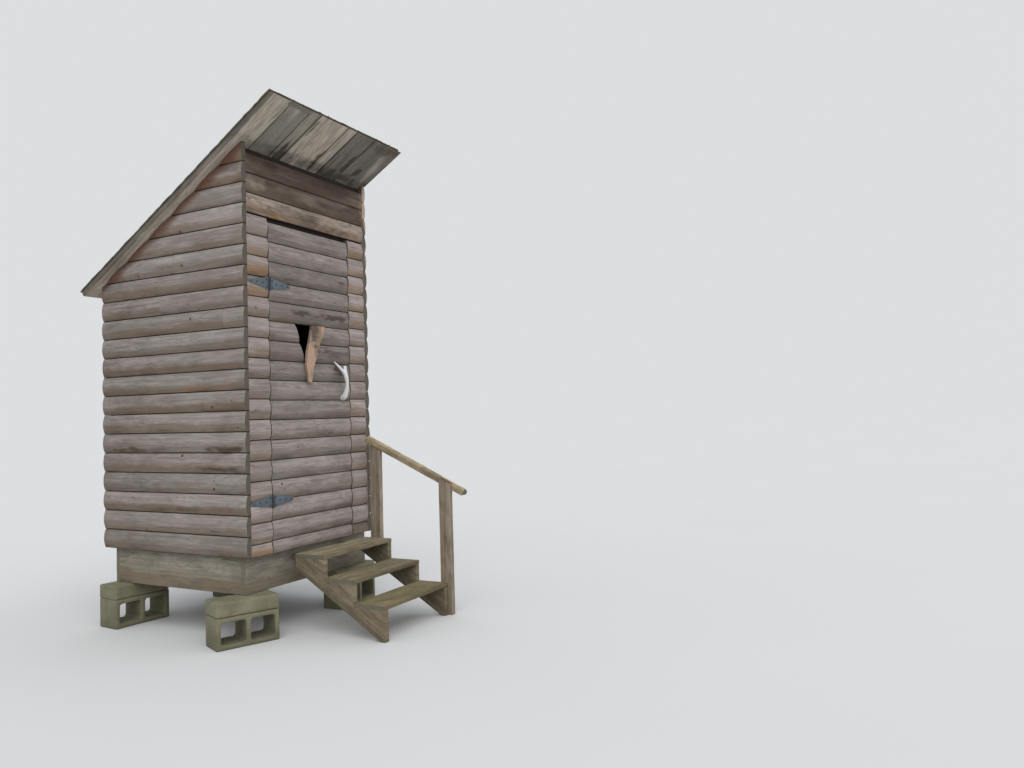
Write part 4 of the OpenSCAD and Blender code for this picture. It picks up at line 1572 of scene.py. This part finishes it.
    def antler(self) -> None:
        """Build the antler from two tapering curves run together."""
        foot_x, foot_z = self.antler_foot
        curve = bpy.data.curves.new("antler_line", "CURVE")
        curve.dimensions, curve.bevel_depth, curve.bevel_resolution = "3D", 1.0, 5
        curve.use_fill_caps = True
        curve.resolution_u = 6
        for path in (self.beam, self.tine):
            spline = curve.splines.new("NURBS")
            spline.points.add(len(path) - 1)
            for point, (x, y, z, radius) in zip(spline.points, path):
                point.co = (*PLAN.at(foot_x + x, y, foot_z + z), 1.0)
                point.radius = radius / 1000
            spline.order_u, spline.use_endpoint_u = 3, True
        carrier = stand("antler_line", curve)
        data = bpy.data.meshes.new_from_object(carrier.evaluated_get(bpy.context.evaluated_depsgraph_get()))
        bpy.data.objects.remove(carrier)
        obj = stand("antler", data)
        remesh(obj, 0.0022, 3)
        burr, burr_reach = PLAN.at(foot_x, -0.014, foot_z + 0.010), 0.045
        for vert in obj.data.vertices:
            x, y, z = vert.co
            near = max(0.0, 1.0 - (vert.co - burr).length / burr_reach)
            rough = noise.noise(vert.co * 95) * 0.0035 * near
            line = noise.noise(Vector((x * 190, y * 190, z * 16))) * 0.0006
            vert.co += vert.normal * (rough + line)
        obj.data.materials.clear()
        obj.data.materials.append(self.finishes.antler)
        obj.data.shade_smooth()
        declare(obj, "door", ["antler_handle"])

    def hinges(self) -> None:
        """Build both strap hinges, each with a leaf on the frame and one on the door."""
        for prefix, height in self.hinge_heights:
            for side, body in ((-1, "root"), (1, "door")):
                leaf = "frame" if side < 0 else "door"
                piece = Piece(f"{prefix}_{leaf}_strap")
                self.strap(piece, height, side)
                piece.build(self.finishes.iron, body, [f"{prefix}_{leaf}_leaf"], "hinge_iron")

    def strap(self, piece: Piece, height: float, side: int) -> None:
        """Build one leaf with its knuckle and bolts.

        Args:
            piece: The piece that it joins.
            height: Height of the hinge over the foot of the siding.
            side: -1 for the leaf on the frame, 1 for the leaf on the door.
        """
        start, tip, tall, thick = 0.008, 0.184, 0.040, 0.003
        slim = 0.0085 if side < 0 else 0.011
        half = ((start, tall), (start + 0.012, tall), (start + 0.03, tall * 0.86), (tip - 0.006, slim),
                (tip, slim * 0.6))
        outline = [(side * x, 0.0, -z) for x, z in half] + [(side * x, 0.0, z) for x, z in reversed(half)]
        middle = PLAN.at(PLAN.hinge_x, 0.0, PLAN.foot + height)
        bm = prism(outline, Vector((0, -thick, 0)))
        ease(bm, bm.edges[:], 0.0008, clamp=True)
        mark_grain(bm, 0.5, Tone())
        piece.add(bm, Matrix.Translation(middle))
        third = tall / 3
        spans = ((-tall, -third - 0.0004), (third + 0.0004, tall)) if side < 0 else ((-third, third),)
        for low, high in spans:
            self.barrel(piece, middle, low, high, 0.0065)
            link = cuboid((start + 0.002, thick - 0.0006, high - low),
                          (side * (start / 2 + 0.001), -thick / 2, (low + high) / 2))
            ease(link, link.edges[:], 0.0006, 1)
            mark_grain(link, 0.5, Tone(0.4))
            piece.add(link, Matrix.Translation(middle))
        if side < 0:
            self.barrel(piece, middle, -tall - 0.003, tall + 0.003, 0.0032)
        for x, z in self.strap_bolts:
            self.bolt(piece, middle + Vector((side * x, -thick, z)), 0.0062 if x < 0.15 else 0.0048)

    def barrel(self, piece: Piece, middle: Vector, low: float, high: float, radius: float) -> None:
        """Build an upright round of the knuckle or the pin.

        Args:
            piece: The piece that it joins.
            middle: The middle of the hinge, on the face of the siding.
            low: Its lower end from there.
            high: Its upper end from there.
            radius: Its radius.
        """
        bm = bmesh.new()
        bmesh.ops.create_cone(bm, cap_ends=True, segments=28, radius1=radius, radius2=radius,
                              depth=high - low)
        rims = [e for e in bm.edges if len(e.link_faces) == 2 and e.calc_face_angle() > 0.8]
        ease(bm, rims, radius * 0.14)
        mark_grain(bm, 0.5, Tone(0.7))
        piece.add(bm, Matrix.Translation(middle + Vector((0, -PLAN.hinge_out, (low + high) / 2))))

    def bolt(self, piece: Piece, at: Vector, radius: float) -> None:
        """Build a domed bolt head that faces the front.

        Args:
            piece: The piece that it joins.
            at: Its place on the strap.
            radius: Its radius.
        """
        bm = bmesh.new()
        bmesh.ops.create_uvsphere(bm, u_segments=16, v_segments=10, radius=radius)
        slice_off(bm, Vector((0, 0, 0)), Vector((0, 0, -1)))
        bmesh.ops.scale(bm, vec=(1, 1, 0.55), verts=bm.verts)
        mark_grain(bm, 0.5, Tone(0.9))
        piece.add(bm, Matrix.Translation(at) @ Matrix.Rotation(math.pi / 2, 4, "X"))

    def build(self) -> None:
        """Build the whole door."""
        self.leaf()
        for name in ("door_batten_left", "door_batten_right"):
            self.yard.fill(name, "board", self.finishes.frame, "frame_wood", Along.Z, body="door")
        self.slab()
        self.antler()
        self.hinges()


@dataclass
class Roof:
    """Planks down the slope under a mossy roll covering."""

    finishes: Finishes
    yard: Yard
    tones: tuple[Tone, ...] = (Tone(0.0, 0.0, 0.0), Tone(0.1, 0.0, 0.8), Tone(0.3, 0.1, 0.3),
                               Tone(0.0, 0.1, 0.0), Tone(0.1, 0.25, 0.0), Tone(0.45, 0.0, 1.0),
                               Tone(0.55, 0.0, 0.95))
    slant: float = 0.020
    spots: tuple[Spot, ...] = (
        # The two spots with y at 0, along the front wall, are painted shade on the planks' underside next to
        # the wall
        Spot(0.635, -0.06, 2.640, (0.024, 0.14, 0.10), Tone(0.4, 2.2)),
        Spot(0.325, 0.00, 2.605, (0.020, 0.16, 0.12), Tone(1.8)),
        Spot(0.395, -0.25, 2.745, (0.018, 0.12, 0.10), Tone(1.2)),
        Spot(0.905, -0.10, 2.660, (0.022, 0.20, 0.14), Tone(1.4)),
        Spot(1.043, -0.074, 2.645, (0.026, 0.034, 0.034), Tone(4.0)),
        Spot(1.10, -0.31, 2.780, (0.20, 0.06, 0.06), Tone(0.4, 0.8)),
        Spot(0.60, 0.00, 2.600, (0.90, 0.07, 0.07), Tone(0.8)),
    )

    def slope(self, x: float, y: float, lift: float) -> Matrix:
        """Where a plank goes: length down the slope, depth to the left, height square to the roof.

        Args:
            x: Its right edge on the plan.
            y: Its front end on the plan.
            lift: Height of its underside over the roof's underside.

        Returns:
            The move from the plank's own frame.
        """
        corner = PLAN.at(x, y, PLAN.under_roof(y)) + OFF_ROOF * lift
        return frame_of(corner, DOWNHILL, Vector((-1, 0, 0)))

    def build(self) -> None:
        """Build planks, covering and the moss along its edges."""
        span = (PLAN.depth + PLAN.eave_front + PLAN.eave_back) / math.cos(PLAN.pitch)
        whole = PLAN.width + PLAN.eave_left + PLAN.eave_right
        planks = Piece("roof_plank_boards")
        for k, tone in enumerate(self.tones):
            seed = self.yard.draw.random()
            left, right = (-PLAN.eave_left + whole * PLAN.plank_joints[k + j] for j in (0, 1))
            left += PLAN.plank_gaps[k] / 2
            right -= PLAN.plank_gaps[k + 1] / 2
            wide = right - left
            bm = sweep(plank_section(wide, PLAN.plank_thick, 0.003, 0.02), span, 0.02)
            weather(bm, seed, PLANK_WEAR)
            mark_grain(bm, seed, tone, 0.0, wide, broad_y=False)
            self.shade_sides(bm, seed)
            self.bevel_front(bm)
            planks.add(bm, self.slope(right, -PLAN.eave_front, 0.0))
        planks.build(self.finishes.planks, nodes=["roof_planks"], slot="plank_wood", spots=self.spots)
        self.patch_strip()
        self.cover(span)

    def shade_sides(self, bm: BMesh, seed: float) -> None:
        """Darken the narrow sides of a plank, which show at the rakes, as painted shade.

        Args:
            bm: The plank, in its own frame.
            seed: Its figure.
        """
        board = bm.loops.layers.float_color["board"]
        for face in bm.faces:
            if abs(face.normal.y) > 0.7:
                for loop in face.loops:
                    loop[board] = (seed, 0.35, 0.0, 0.55)

    def patch_strip(self) -> None:
        """Nail a thin strip under the front edge."""
        piece = Piece("roof_patch_strip")
        wide, thick, length, left = 0.026, 0.0035, 0.205, 0.082
        bm = sweep(plank_section(wide, thick, 0.0006), length)
        weather(bm, 0.3, SOUND)
        mark_grain(bm, 0.3, Tone(0.4, 0.0, 0.9), 0.0, wide, broad_y=False)
        y = -PLAN.eave_front + 0.003
        corner = PLAN.at(left, y, PLAN.under_roof(y)) - OFF_ROOF * thick
        piece.add(bm, frame_of(corner, Vector((1, 0, 0)), DOWNHILL))
        piece.build(self.finishes.planks, slot="plank_wood")

    def bevel_front(self, bm: BMesh) -> None:
        """Let the sawn front end of a plank lean back towards its top.

        Args:
            bm: The plank, in its own frame.
        """
        for vert in bm.verts:
            near = max(0.0, 1.0 - vert.co.x / 0.04)
            vert.co.x += near * self.slant * max(0.0, min(1.0, vert.co.z / PLAN.plank_thick))

    def cover(self, span: float) -> None:
        """Build the covering with a ragged, slightly sagging edge and moss on it.

        Args:
            span: Length of the planks.
        """
        lap = PLAN.cover_lap
        wide = PLAN.width + PLAN.eave_left + PLAN.eave_right + 2 * lap
        long = span + 2 * lap
        piece = Piece("roof_roll_covering")
        bm = sweep(plank_section(wide, PLAN.cover_thick, 0.002, 0.02), long, 0.02)
        shift = Vector((4.2, 1.7, 9.3))
        for vert in bm.verts:
            x, y, z = vert.co
            ragged = max(0.0, 1.0 - min(x, long - x, y, wide - y) / 0.02)
            push = noise.noise(Vector((x * 22, y * 22, 0.0)) + shift)
            vert.co.x += ragged * 0.006 * push
            vert.co.y += ragged * 0.005 * noise.noise(Vector((x * 25, y * 25, 7.0)) + shift)
            vert.co.z += 0.0012 * noise.noise(Vector((x * 5, y * 5, 0.0)) + shift)
            vert.co.x += max(0.0, 1.0 - x / 0.04) * self.slant
        mark_grain(bm, 0.5, Tone(), 0.0, wide, broad_y=False)
        place = self.slope(PLAN.width + PLAN.eave_right + lap, -PLAN.eave_front - lap * math.cos(PLAN.pitch),
                           PLAN.plank_thick)
        piece.add(bm, place)
        piece.build(self.finishes.felt, nodes=["roof_covering"], slot="roll_covering")
        self.moss(place, wide, long)
    def moss(self, place: Matrix, wide: float, span: float) -> None:
        """Set low cushions of moss along the edges and here and there on the roof.

        Args:
            place: Where the covering lies.
            wide: Its width.
            span: Its length.
        """
        piece = Piece("roof_moss")
        draw = random.Random(77)
        front, rake, open_roof = 210, 60, 240
        spots = [(self.slant + draw.uniform(0.002, 0.010), draw.uniform(0.0, wide),
                  draw.uniform(0.003, 0.006)) for _ in range(front)]
        spots += [(draw.uniform(0.02, span), side + draw.uniform(-0.003, 0.003),
                   draw.uniform(0.002, 0.004)) for side in (0.008, wide - 0.008) for _ in range(rake)]
        spots += [(draw.uniform(0.06, span - 0.03), draw.uniform(0.04, wide - 0.04),
                   draw.uniform(0.006, 0.018)) for _ in range(open_roof)]
        for x, y, size in spots:
            bm = bmesh.new()
            bmesh.ops.create_icosphere(bm, subdivisions=2, radius=1.0)
            for vert in bm.verts:
                vert.co *= 1.0 + 0.35 * noise.noise(vert.co * 2.2 + Vector((x * 91, y * 57, 0.0)))
            spread = (size * draw.uniform(0.8, 1.5), size * draw.uniform(0.8, 1.5), size * 0.45)
            bmesh.ops.scale(bm, vec=spread, verts=bm.verts)
            piece.add(bm, place @ Matrix.Translation((x, y, PLAN.cover_thick)))
        piece.build(self.finishes.moss, slot="roll_covering")


@dataclass
class Base:
    """Concrete piers, rim boards, joists and floor boards."""

    finishes: Finishes
    yard: Yard
    length: float = 0.397
    width: float = 0.194
    height: float = 0.194
    shell: float = 0.032
    web: float = 0.030
    cap: float = 0.092
    core_round: float = 0.018
    floor_boards: int = 9

    def places(self) -> dict[str, Triple]:
        """Give each pier its place.

        Returns:
            Its middle on the plan and its turn in degrees.
        """
        w, d = PLAN.width, PLAN.depth
        return {"front_left": (0.034, 0.080, -22.6), "front_right": (w - 0.132, 0.112, 6.0),
                "back_left": (0.132, d - 0.142, -5.0), "back_right": (w - 0.146, d - 0.132, 4.0)}

    def build(self) -> None:
        """Build every part below the walls."""
        for k, (name, (x, y, turn)) in enumerate(self.places().items()):
            place = Matrix.Translation(PLAN.at(x, y)) @ Matrix.Rotation(math.radians(turn), 4, "Z")
            self.block(name, place, k)
            self.cap_block(name, place, k)
        self.rim()
        self.floor()

    def block(self, name: str, place: Matrix, number: int) -> None:
        """Build a hollow block that lies on its side, its cores open to front and back.

        Args:
            name: The pier's name.
            place: Where the pier stands.
            number: The pier's number, which sets its roughness apart.
        """
        size, middle = (self.length, self.width, self.height), (0, 0, self.height / 2)
        obj = solid_from(cuboid(size, middle), f"pier_block_{name}_cast")
        core_l = (self.length - 3 * self.web) / 2
        core_h = self.height - 2 * self.shell
        for side in (-1, 1):
            core = cuboid((core_l, self.width * 1.4, core_h))
            long_edges = [e for e in core.edges if abs((e.verts[0].co - e.verts[1].co).y) > 0.01]
            ease(core, long_edges, self.core_round, 5)
            bmesh.ops.translate(core, vec=(side * (core_l + self.web) / 2, 0, self.height / 2),
                                verts=core.verts)
            cut_out(obj, core)
        self.cast(obj, place, number, f"pier_block_{name}")

    def cap_block(self, name: str, place: Matrix, number: int) -> None:
        """Build the solid block on top.

        Args:
            name: The pier's name.
            place: Where the pier stands.
            number: The pier's number, which sets its roughness apart.
        """
        bm = cuboid((self.length, self.width, self.cap - 0.001), (0, 0, self.height + self.cap / 2))
        self.cast(solid_from(bm, f"pier_cap_{name}_cast"), place, number + 5, f"pier_cap_{name}")

    def cast(self, obj: Object, place: Matrix, number: int, node: str) -> None:
        """Round and roughen a block as cast and chipped concrete, then set it down.

        Args:
            obj: The block, in its own frame.
            place: Where it goes.
            number: Sets its roughness apart from the others.
            node: Its node.
        """
        remesh(obj, 0.0065, 1)
        shift = Vector((number * 5.3, number * 2.9, 0.7))
        for vert in obj.data.vertices:
            co = vert.co
            coarse = noise.noise(co * 24 + shift) * 0.0011 + noise.noise(co * 70 + shift) * 0.0007
            vert.co = place @ (co + vert.normal * (coarse - 0.0012))
        obj.data.materials.append(self.finishes.concrete)
        obj.data.shade_smooth()
        declare(obj, "root", [node])

    def rim(self) -> None:
        """Build the four rim boards."""
        for side, along, tone in (("front", Along.X, Tone(0.15, 0.1, 0.3)),
                                  ("left", Along.Y, Tone(0.1, 0.15, 0.4)),
                                  ("right", Along.Y, Tone(0.1, 0.1, 0.4)),
                                  ("back", Along.X, Tone(0.2, 0.1, 0.4))):
            self.yard.fill(f"skirt_{side}", "board", self.finishes.skirt, "skirt_wood", along, tone=tone,
                           wear=WORN)

    def floor(self) -> None:
        """Build the joists and the floor boards."""
        piece = Piece("floor_joist_boards")
        low, high = corners("floor_joists")
        for x in (low.x, high.x - PLAN.stud):
            self.yard.timber(piece, Vector((x, low.y, low.z)), Vector((x + PLAN.stud, high.y, high.z)),
                             Along.Y)
        piece.build(self.finishes.frame, nodes=["floor_joists"], slot="frame_wood")
        piece = Piece("floor_boards")
        low, high = corners("floor_deck")
        wide = (high.y - low.y) / self.floor_boards
        for k in range(self.floor_boards):
            start = low.y + k * wide
            self.yard.timber(piece, Vector((low.x, start + 0.001, low.z)),
                             Vector((high.x, start + wide - 0.001, high.z)), Along.X,
                             Tone(self.yard.draw.uniform(0, 0.4)))
        piece.build(self.finishes.frame, nodes=["floor_deck"], slot="frame_wood")


@dataclass
class Frame:
    """The frame behind the siding."""

    finishes: Finishes
    yard: Yard

    def build(self) -> None:
        """Build posts, studs, plates, purlin, lintel and door stop."""
        stud, deep = PLAN.stud, PLAN.stud_depth
        self.pairs("corner_posts", 2, deep, deep)
        self.pairs("side_studs", 1, deep, stud)
        self.pairs("door_posts", 1, stud, deep)
        # The lintel and the front top plate take the dark painted-shade finish
        bare, painted_shade = self.finishes.frame, self.finishes.painted_shade
        for name, finish in (("door_lintel", painted_shade), ("front_top_plate", painted_shade), ("back_top_plate", bare),
                             ("roof_purlin", bare)):
            self.yard.fill(name, "timber", finish, "frame_wood", Along.X, tone=Tone(0.2),
                           trim=self.under_roof)
        self.stop()

    def under_roof(self, bm: BMesh) -> None:
        """Saw off what would stand above the underside of the planks."""
        slice_off(bm, PLAN.at(0, 0, PLAN.under_roof(0.0) - 0.001), OFF_ROOF)

    def pairs(self, name: str, rows: int, wide: float, thick: float) -> None:
        """Build upright timbers at the corners of a node's box, each as high as its own roof line.

        Args:
            name: The node.
            rows: Number of pairs, from front to back.
            wide: Size of a timber along X.
            thick: Size of a timber along Y.
        """
        low, high = corners(name)
        piece = Piece(name + "_timber")
        for x in (low.x, high.x - wide):
            for row in range(rows):
                y = high.y - thick if row else low.y
                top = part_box("back_top_plate")[0][2] if row else high.z
                self.yard.timber(piece, Vector((x, y, low.z)), Vector((x + wide, y + thick, top)), Along.Z)
        piece.build(self.finishes.frame, nodes=[name], slot="frame_wood")

    def stop(self) -> None:
        """Build the stop that the door shuts against."""
        low, high = corners("door_stop")
        piece = Piece("door_stop_timber")
        side = PLAN.stud / 2
        self.yard.timber(piece, low, Vector((low.x + side, high.y, high.z)), Along.Z)
        self.yard.timber(piece, Vector((high.x - side, low.y, low.z)), high, Along.Z)
        self.yard.timber(piece, Vector((low.x + side, low.y, high.z - 2 * side)),
                         Vector((high.x - side, high.y, high.z)), Along.X)
        # The stop takes the dark painted-shade finish
        piece.build(self.finishes.painted_shade, nodes=["door_stop"], slot="frame_wood")


@dataclass
class Steps:
    """Three open treads on two cut stringers, tied to the rim."""

    finishes: Finishes
    yard: Yard
    rise: float = 0.140
    throat: float = 0.074
    treads: tuple[tuple[str, Tone], ...] = (
        ("tread_top", Tone()), ("tread_middle", Tone(0.3, 0.0, 0.15)), ("tread_bottom", Tone(0.1, 0.0, 0.6)))

    def build(self) -> None:
        """Build the whole flight."""
        for name, tone in self.treads:
            self.yard.fill(name, "board", self.finishes.treads, "step_wood", Along.X, tone=tone, wear=WORN,
                           step=0.02)
        self.stringer("stringer_left", Tone(0.05, 0.05))
        self.stringer("stringer_right", Tone(0.25, 0.05))
        low, high = corners("stair_ties")
        piece = Piece("stair_tie_timber")
        for x in (low.x, high.x - PLAN.stud_depth):
            self.yard.timber(piece, Vector((x, low.y, low.z)),
                             Vector((x + PLAN.stud_depth, high.y, high.z)), Along.Y, Tone(0.4), WORN)
        piece.build(self.finishes.stringers, nodes=["stair_ties"], slot="stringer_wood")

    def stringer(self, name: str, tone: Tone) -> None:
        """Build one stringer, sawn to its steps, with its grain along the flight.

        Args:
            name: Its node.
            tone: Its tone.
        """
        low, high = corners(name)
        boxes = [corners(tread) for tread, _ in self.treads]
        seats: list[Point] = []
        for k, (tread_low, tread_high) in enumerate(boxes):
            front = tread_low.y if k == 2 else boxes[k + 1][1].y
            seats += [(tread_high.y, tread_low.z), (front, tread_low.z)]
        slope = self.rise / (boxes[0][0].y - boxes[1][0].y)
        throat_z = boxes[1][0].z - self.throat
        ground_y = boxes[0][0].y - throat_z / slope
        outline = [*seats, (low.y, 0.0), (ground_y, 0.0),
                   (high.y, throat_z + slope * (high.y - boxes[0][0].y))]
        bm = prism(((y, 0.0, z) for y, z in outline), Vector((0, high.x - low.x, 0)))
        ease(bm, bm.edges[:], 0.0022)
        bmesh.ops.triangulate(bm, faces=[f for f in bm.faces if len(f.verts) > 4])
        mark_grain(bm, self.yard.draw.random(), tone, 0.0, 0.4, turn=math.atan(slope))
        piece = Piece(name + "_board")
        piece.add(bm, frame_of(Vector((high.x, 0.0, 0.0)), Vector((0, 1, 0)), Vector((-1, 0, 0))))
        piece.build(self.finishes.stringers, nodes=[name], slot="stringer_wood")


@dataclass
class Rail:
    """Two posts and a half-round slab rail."""

    finishes: Finishes
    yard: Yard
    fall: float = 0.46
    wide: float = 0.072
    thick: float = 0.045
    high: float = 1.192
    top_y: float = 0.055
    low_y: float = 0.872

    def build(self) -> None:
        """Build the posts and the rail."""
        angle = math.atan(self.fall)
        normal = Vector((0, -math.sin(angle), math.cos(angle)))
        for name, lift, tone in (("front_rail_post", self.thick / math.cos(angle) - 0.004, Tone(0.1, 0.1)),
                                 ("rear_rail_post", 0.0, Tone(0.2, 0.0))):
            where = PLAN.at(0, -self.top_y, self.high + lift)

            def cut(bm: BMesh) -> None:
                """Saw the post's top to the fall of the rail."""
                slice_off(bm, where, normal)

            self.yard.fill(name, "timber", self.finishes.posts, "post_wood", Along.Z, rise=0.01, tone=tone,
                           wear=WORN, trim=cut)
        self.notch(self.slab(angle))

    def slab(self, angle: float) -> Object:
        """Build the rail, round above and flat below, with wavy edges and a rough low end.

        Args:
            angle: Its fall.

        Returns:
            The rail.
        """
        length, half = (self.low_y - self.top_y) / math.cos(angle), self.wide / 2
        radius = (half ** 2 + self.thick ** 2) / (2 * self.thick)
        count = 16
        section = []
        for k in range(count + 1):
            y = -half + 0.002 + (self.wide - 0.004) * k / count
            section.append((y, self.thick - radius + math.sqrt(radius ** 2 - y ** 2)))
        section += [(y, 0.0) for y in (half, 0.018, 0.0, -0.018, -half)]
        bm = sweep(section, length, 0.012)
        shift = Vector((8.1, 2.2, 5.5))
        for vert in bm.verts:
            x, y, z = vert.co
            swell = 0.004 * noise.noise(Vector((x * 5.5, 0.0, 0.0)) + shift)
            knob = 0.0022 * noise.noise(Vector((x * 22, y * 40, z * 40)) + shift)
            vert.co.y += (1 if y > 0 else -1) * (swell + knob) * min(1.0, abs(y) / 0.02)
            vert.co.z += (swell * 0.6 + knob) * min(1.0, z / 0.02)
            if x > length - 0.002:
                vert.co.x += 0.012 * noise.noise(Vector((0.0, y * 60, z * 60)) + shift)
        mark_grain(bm, 0.37, Tone(0.05, 0.0, 0.1), -half, half, broad_y=False)
        start = PLAN.at(0, -self.top_y, self.high)
        start.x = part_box("handrail")[1][0] - half
        run = Vector((0, -math.cos(angle), -math.sin(angle)))
        piece = Piece("handrail_slab")
        piece.add(bm, frame_of(start, run, Vector((1, 0, 0))))
        return piece.build(self.finishes.rail, nodes=["handrail"], slot="rail_wood")

    def notch(self, obj: Object) -> None:
        """Notch the rail round the front post.

        Args:
            obj: The rail.
        """
        low, high = corners("front_rail_post")
        bm = cuboid((high.x - low.x + 0.021, high.y - low.y + 0.002, 1.0),
                    ((low.x + high.x) / 2 - 0.0095, (low.y + high.y) / 2, high.z))
        mark_grain(bm, 0.2, Tone(0.2), 0.0, 1.0)
        cut_out(obj, bm)


@dataclass
class Nails:
    """Nail and bolt heads in the siding; each size is a radius and how far the head stands out."""

    finishes: Finishes
    nail: Point = (0.0024, 0.0004)
    door_bolt: Point = (0.0044, 0.0012)
    wall_bolt: Point = (0.0042, 0.0012)
    door_bolts: tuple[Point, ...] = ((0.631, 0.822), (0.463, 0.662), (0.951, 0.637), (0.333, 0.400),
                                     (0.835, 2.122))
    wall_bolts: tuple[Point, ...] = ((0.110, 0.978), (0.747, 0.700))

    def head(self, piece: Piece, facing: Facing, at: Sequence[float], above: float, course: float,
             size: Point) -> None:
        """Drive one nail or bolt: a low dome that faces outwards.

        Args:
            piece: The piece that it joins.
            facing: The side that the wall shows.
            at: Its place on the wall's outermost face, its height from the foot of the siding.
            above: How far it lies above the crown of its log.
            course: Height of a whole course.
            size: Its radius and how far it stands out.
        """
        radius, out = size
        bm = bmesh.new()
        bmesh.ops.create_circle(bm, cap_ends=True, segments=10, radius=radius)
        ring = push_out(bm, Vector((0, 0, radius * 0.5)))
        bmesh.ops.scale(bm, verts=ring, vec=(0.7, 0.7, 1.0))
        bmesh.ops.recalc_face_normals(bm, faces=bm.faces)
        x, y, z = at
        place = PLAN.at(x, y, PLAN.foot + z) + facing.inward * (behind_belly(above, course) - out)
        turn = (-facing.inward).to_track_quat("Z", "Y").to_matrix().to_4x4()
        piece.add(bm, Matrix.Translation(place) @ turn)

    def build(self) -> None:
        """Nail every wall and the door."""
        draw = random.Random(31)
        fixed, moving = Piece("siding_nails"), Piece("door_nails")
        for course in range(19):
            z = (course + 0.5) * PLAN.course
            for along in (0.03, 0.67, 1.27):
                for facing, x in ((Facing.LEFT, 0.0), (Facing.RIGHT, PLAN.width)):
                    if PLAN.foot + z + 0.05 < PLAN.under_roof(along):
                        off = draw.uniform(-0.026, 0.026)
                        at = (x, along + draw.uniform(-0.008, 0.008), z + off)
                        self.head(fixed, facing, at, off, PLAN.course, self.nail)
            if course < 16:
                z += PLAN.front_first
                for x in (0.06, 0.2, 1.046, 1.178):
                    off = draw.uniform(-0.02, 0.02)
                    self.head(fixed, Facing.FRONT, (x, 0.0, z + off), off, PLAN.course, self.nail)
        for course in range(16):
            z = PLAN.door_first + (course + 0.5) * PLAN.door_course
            for x in (PLAN.leaf_left + 0.14, PLAN.leaf_right - 0.14):
                off = draw.uniform(-0.024, 0.024)
                at = (x + draw.uniform(-0.012, 0.012), 0.0, z + off)
                self.head(moving, Facing.FRONT, at, off, PLAN.door_course, self.nail)
        for x, z in self.door_bolts:
            above = (z - PLAN.door_first) % PLAN.door_course - PLAN.door_course / 2
            self.head(moving, Facing.FRONT, (x, 0.0, z), above, PLAN.door_course, self.door_bolt)
        for y, z in self.wall_bolts:
            above = z % PLAN.course - PLAN.course / 2
            self.head(fixed, Facing.LEFT, (0.0, y, z), above, PLAN.course, self.wall_bolt)
        fixed.build(self.finishes.nails, slot="hinge_iron")
        moving.build(self.finishes.nails, "door", slot="hinge_iron")


# Stage


@dataclass
class Studio:
    """Floor, soft light and the camera at the photograph's place."""

    lens: float = 28.14
    sensor: float = 36.0
    stand: Triple = (-4.18838, -4.02603, 1.3816)
    right: Triple = (0.4602, -0.88739, -0.02751)
    down: Triple = (0.01791, 0.04026, -0.99903)
    ahead: Triple = (0.88764, 0.45926, 0.03443)
    pale: Colour = (220, 222, 224)
    suns: tuple[tuple[Triple, float, float], ...] = (
        ((-4.0, -3.2, 5.2), 1.40, 55.0), ((1.5, -5.0, 3.6), 0.40, 70.0))

    def camera(self) -> None:
        """Set the camera."""
        data = bpy.data.cameras.new("camera")
        data.lens, data.sensor_width, data.sensor_fit = self.lens, self.sensor, "HORIZONTAL"
        data.clip_end = 200.0
        camera = stand("camera", data)
        turn = Matrix((Vector(self.right), -Vector(self.down), -Vector(self.ahead))).transposed()
        camera.matrix_world = Matrix.Translation(self.stand) @ turn.to_4x4()
        bpy.context.scene.camera = camera

    def light(self) -> None:
        """Light the object as under a bright overcast sky."""
        world = bpy.data.worlds.new("overcast")
        bpy.context.scene.world = world
        world.use_nodes = True
        graph = Graph(world.node_tree)
        sky = world.node_tree.nodes["Background"]
        sky.inputs["Color"].default_value = (0.93, 0.96, 1.0, 1.0)
        sky.inputs["Strength"].default_value = 0.90
        pale = graph.fill(graph.add("Background"), {"Color": self.pale})
        rays = graph.add("LightPath").outputs
        seen = graph.math("MAXIMUM", rays["Is Camera Ray"], rays["Is Glossy Ray"])
        mix = graph.fill(graph.add("MixShader"), {0: seen, 1: sky.outputs[0], 2: pale.outputs[0]})
        graph.feed(world.node_tree.nodes["World Output"].inputs[0], mix.outputs[0])
        for place, strength, spread in self.suns:
            lamp = bpy.data.lights.new("soft sun", "SUN")
            lamp.energy, lamp.angle = strength, math.radians(spread)
            turn = (-Vector(place)).to_track_quat("-Z", "Y").to_matrix().to_4x4()
            stand("soft sun", lamp).matrix_world = Matrix.Translation(place) @ turn

    def floor(self) -> None:
        """Lay a pale floor."""
        bm = bmesh.new()
        bmesh.ops.create_grid(bm, x_segments=1, y_segments=1, size=60.0)
        floor = solid_from(bm, "floor")
        material, graph, shader = blank("pale floor")
        speck = graph.noise(graph.place(), 0.6, 2.0)
        graph.fill(shader, {"Base Color": graph.mix(speck, (198, 198, 197), (201, 201, 200)),
                            "Roughness": 0.9})
        floor.data.materials.append(material)

    def build(self) -> None:
        """Set up camera, light and floor."""
        scene = bpy.context.scene
        scene.view_settings.view_transform = "Standard"
        self.camera()
        self.light()
        self.floor()


def main() -> None:
    """Build the studio and every part of the building, in order."""
    logging.basicConfig(level=logging.INFO, format="%(name)s %(message)s")
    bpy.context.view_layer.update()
    Studio().build()
    finishes = Finishes()
    yard = Yard(11)
    for part in (Walls(finishes, yard), Door(finishes, yard), Roof(finishes, yard), Base(finishes, yard),
                 Frame(finishes, yard), Steps(finishes, yard), Rail(finishes, yard), Nails(finishes)):
        part.build()


if __name__ == "__main__":
    main()
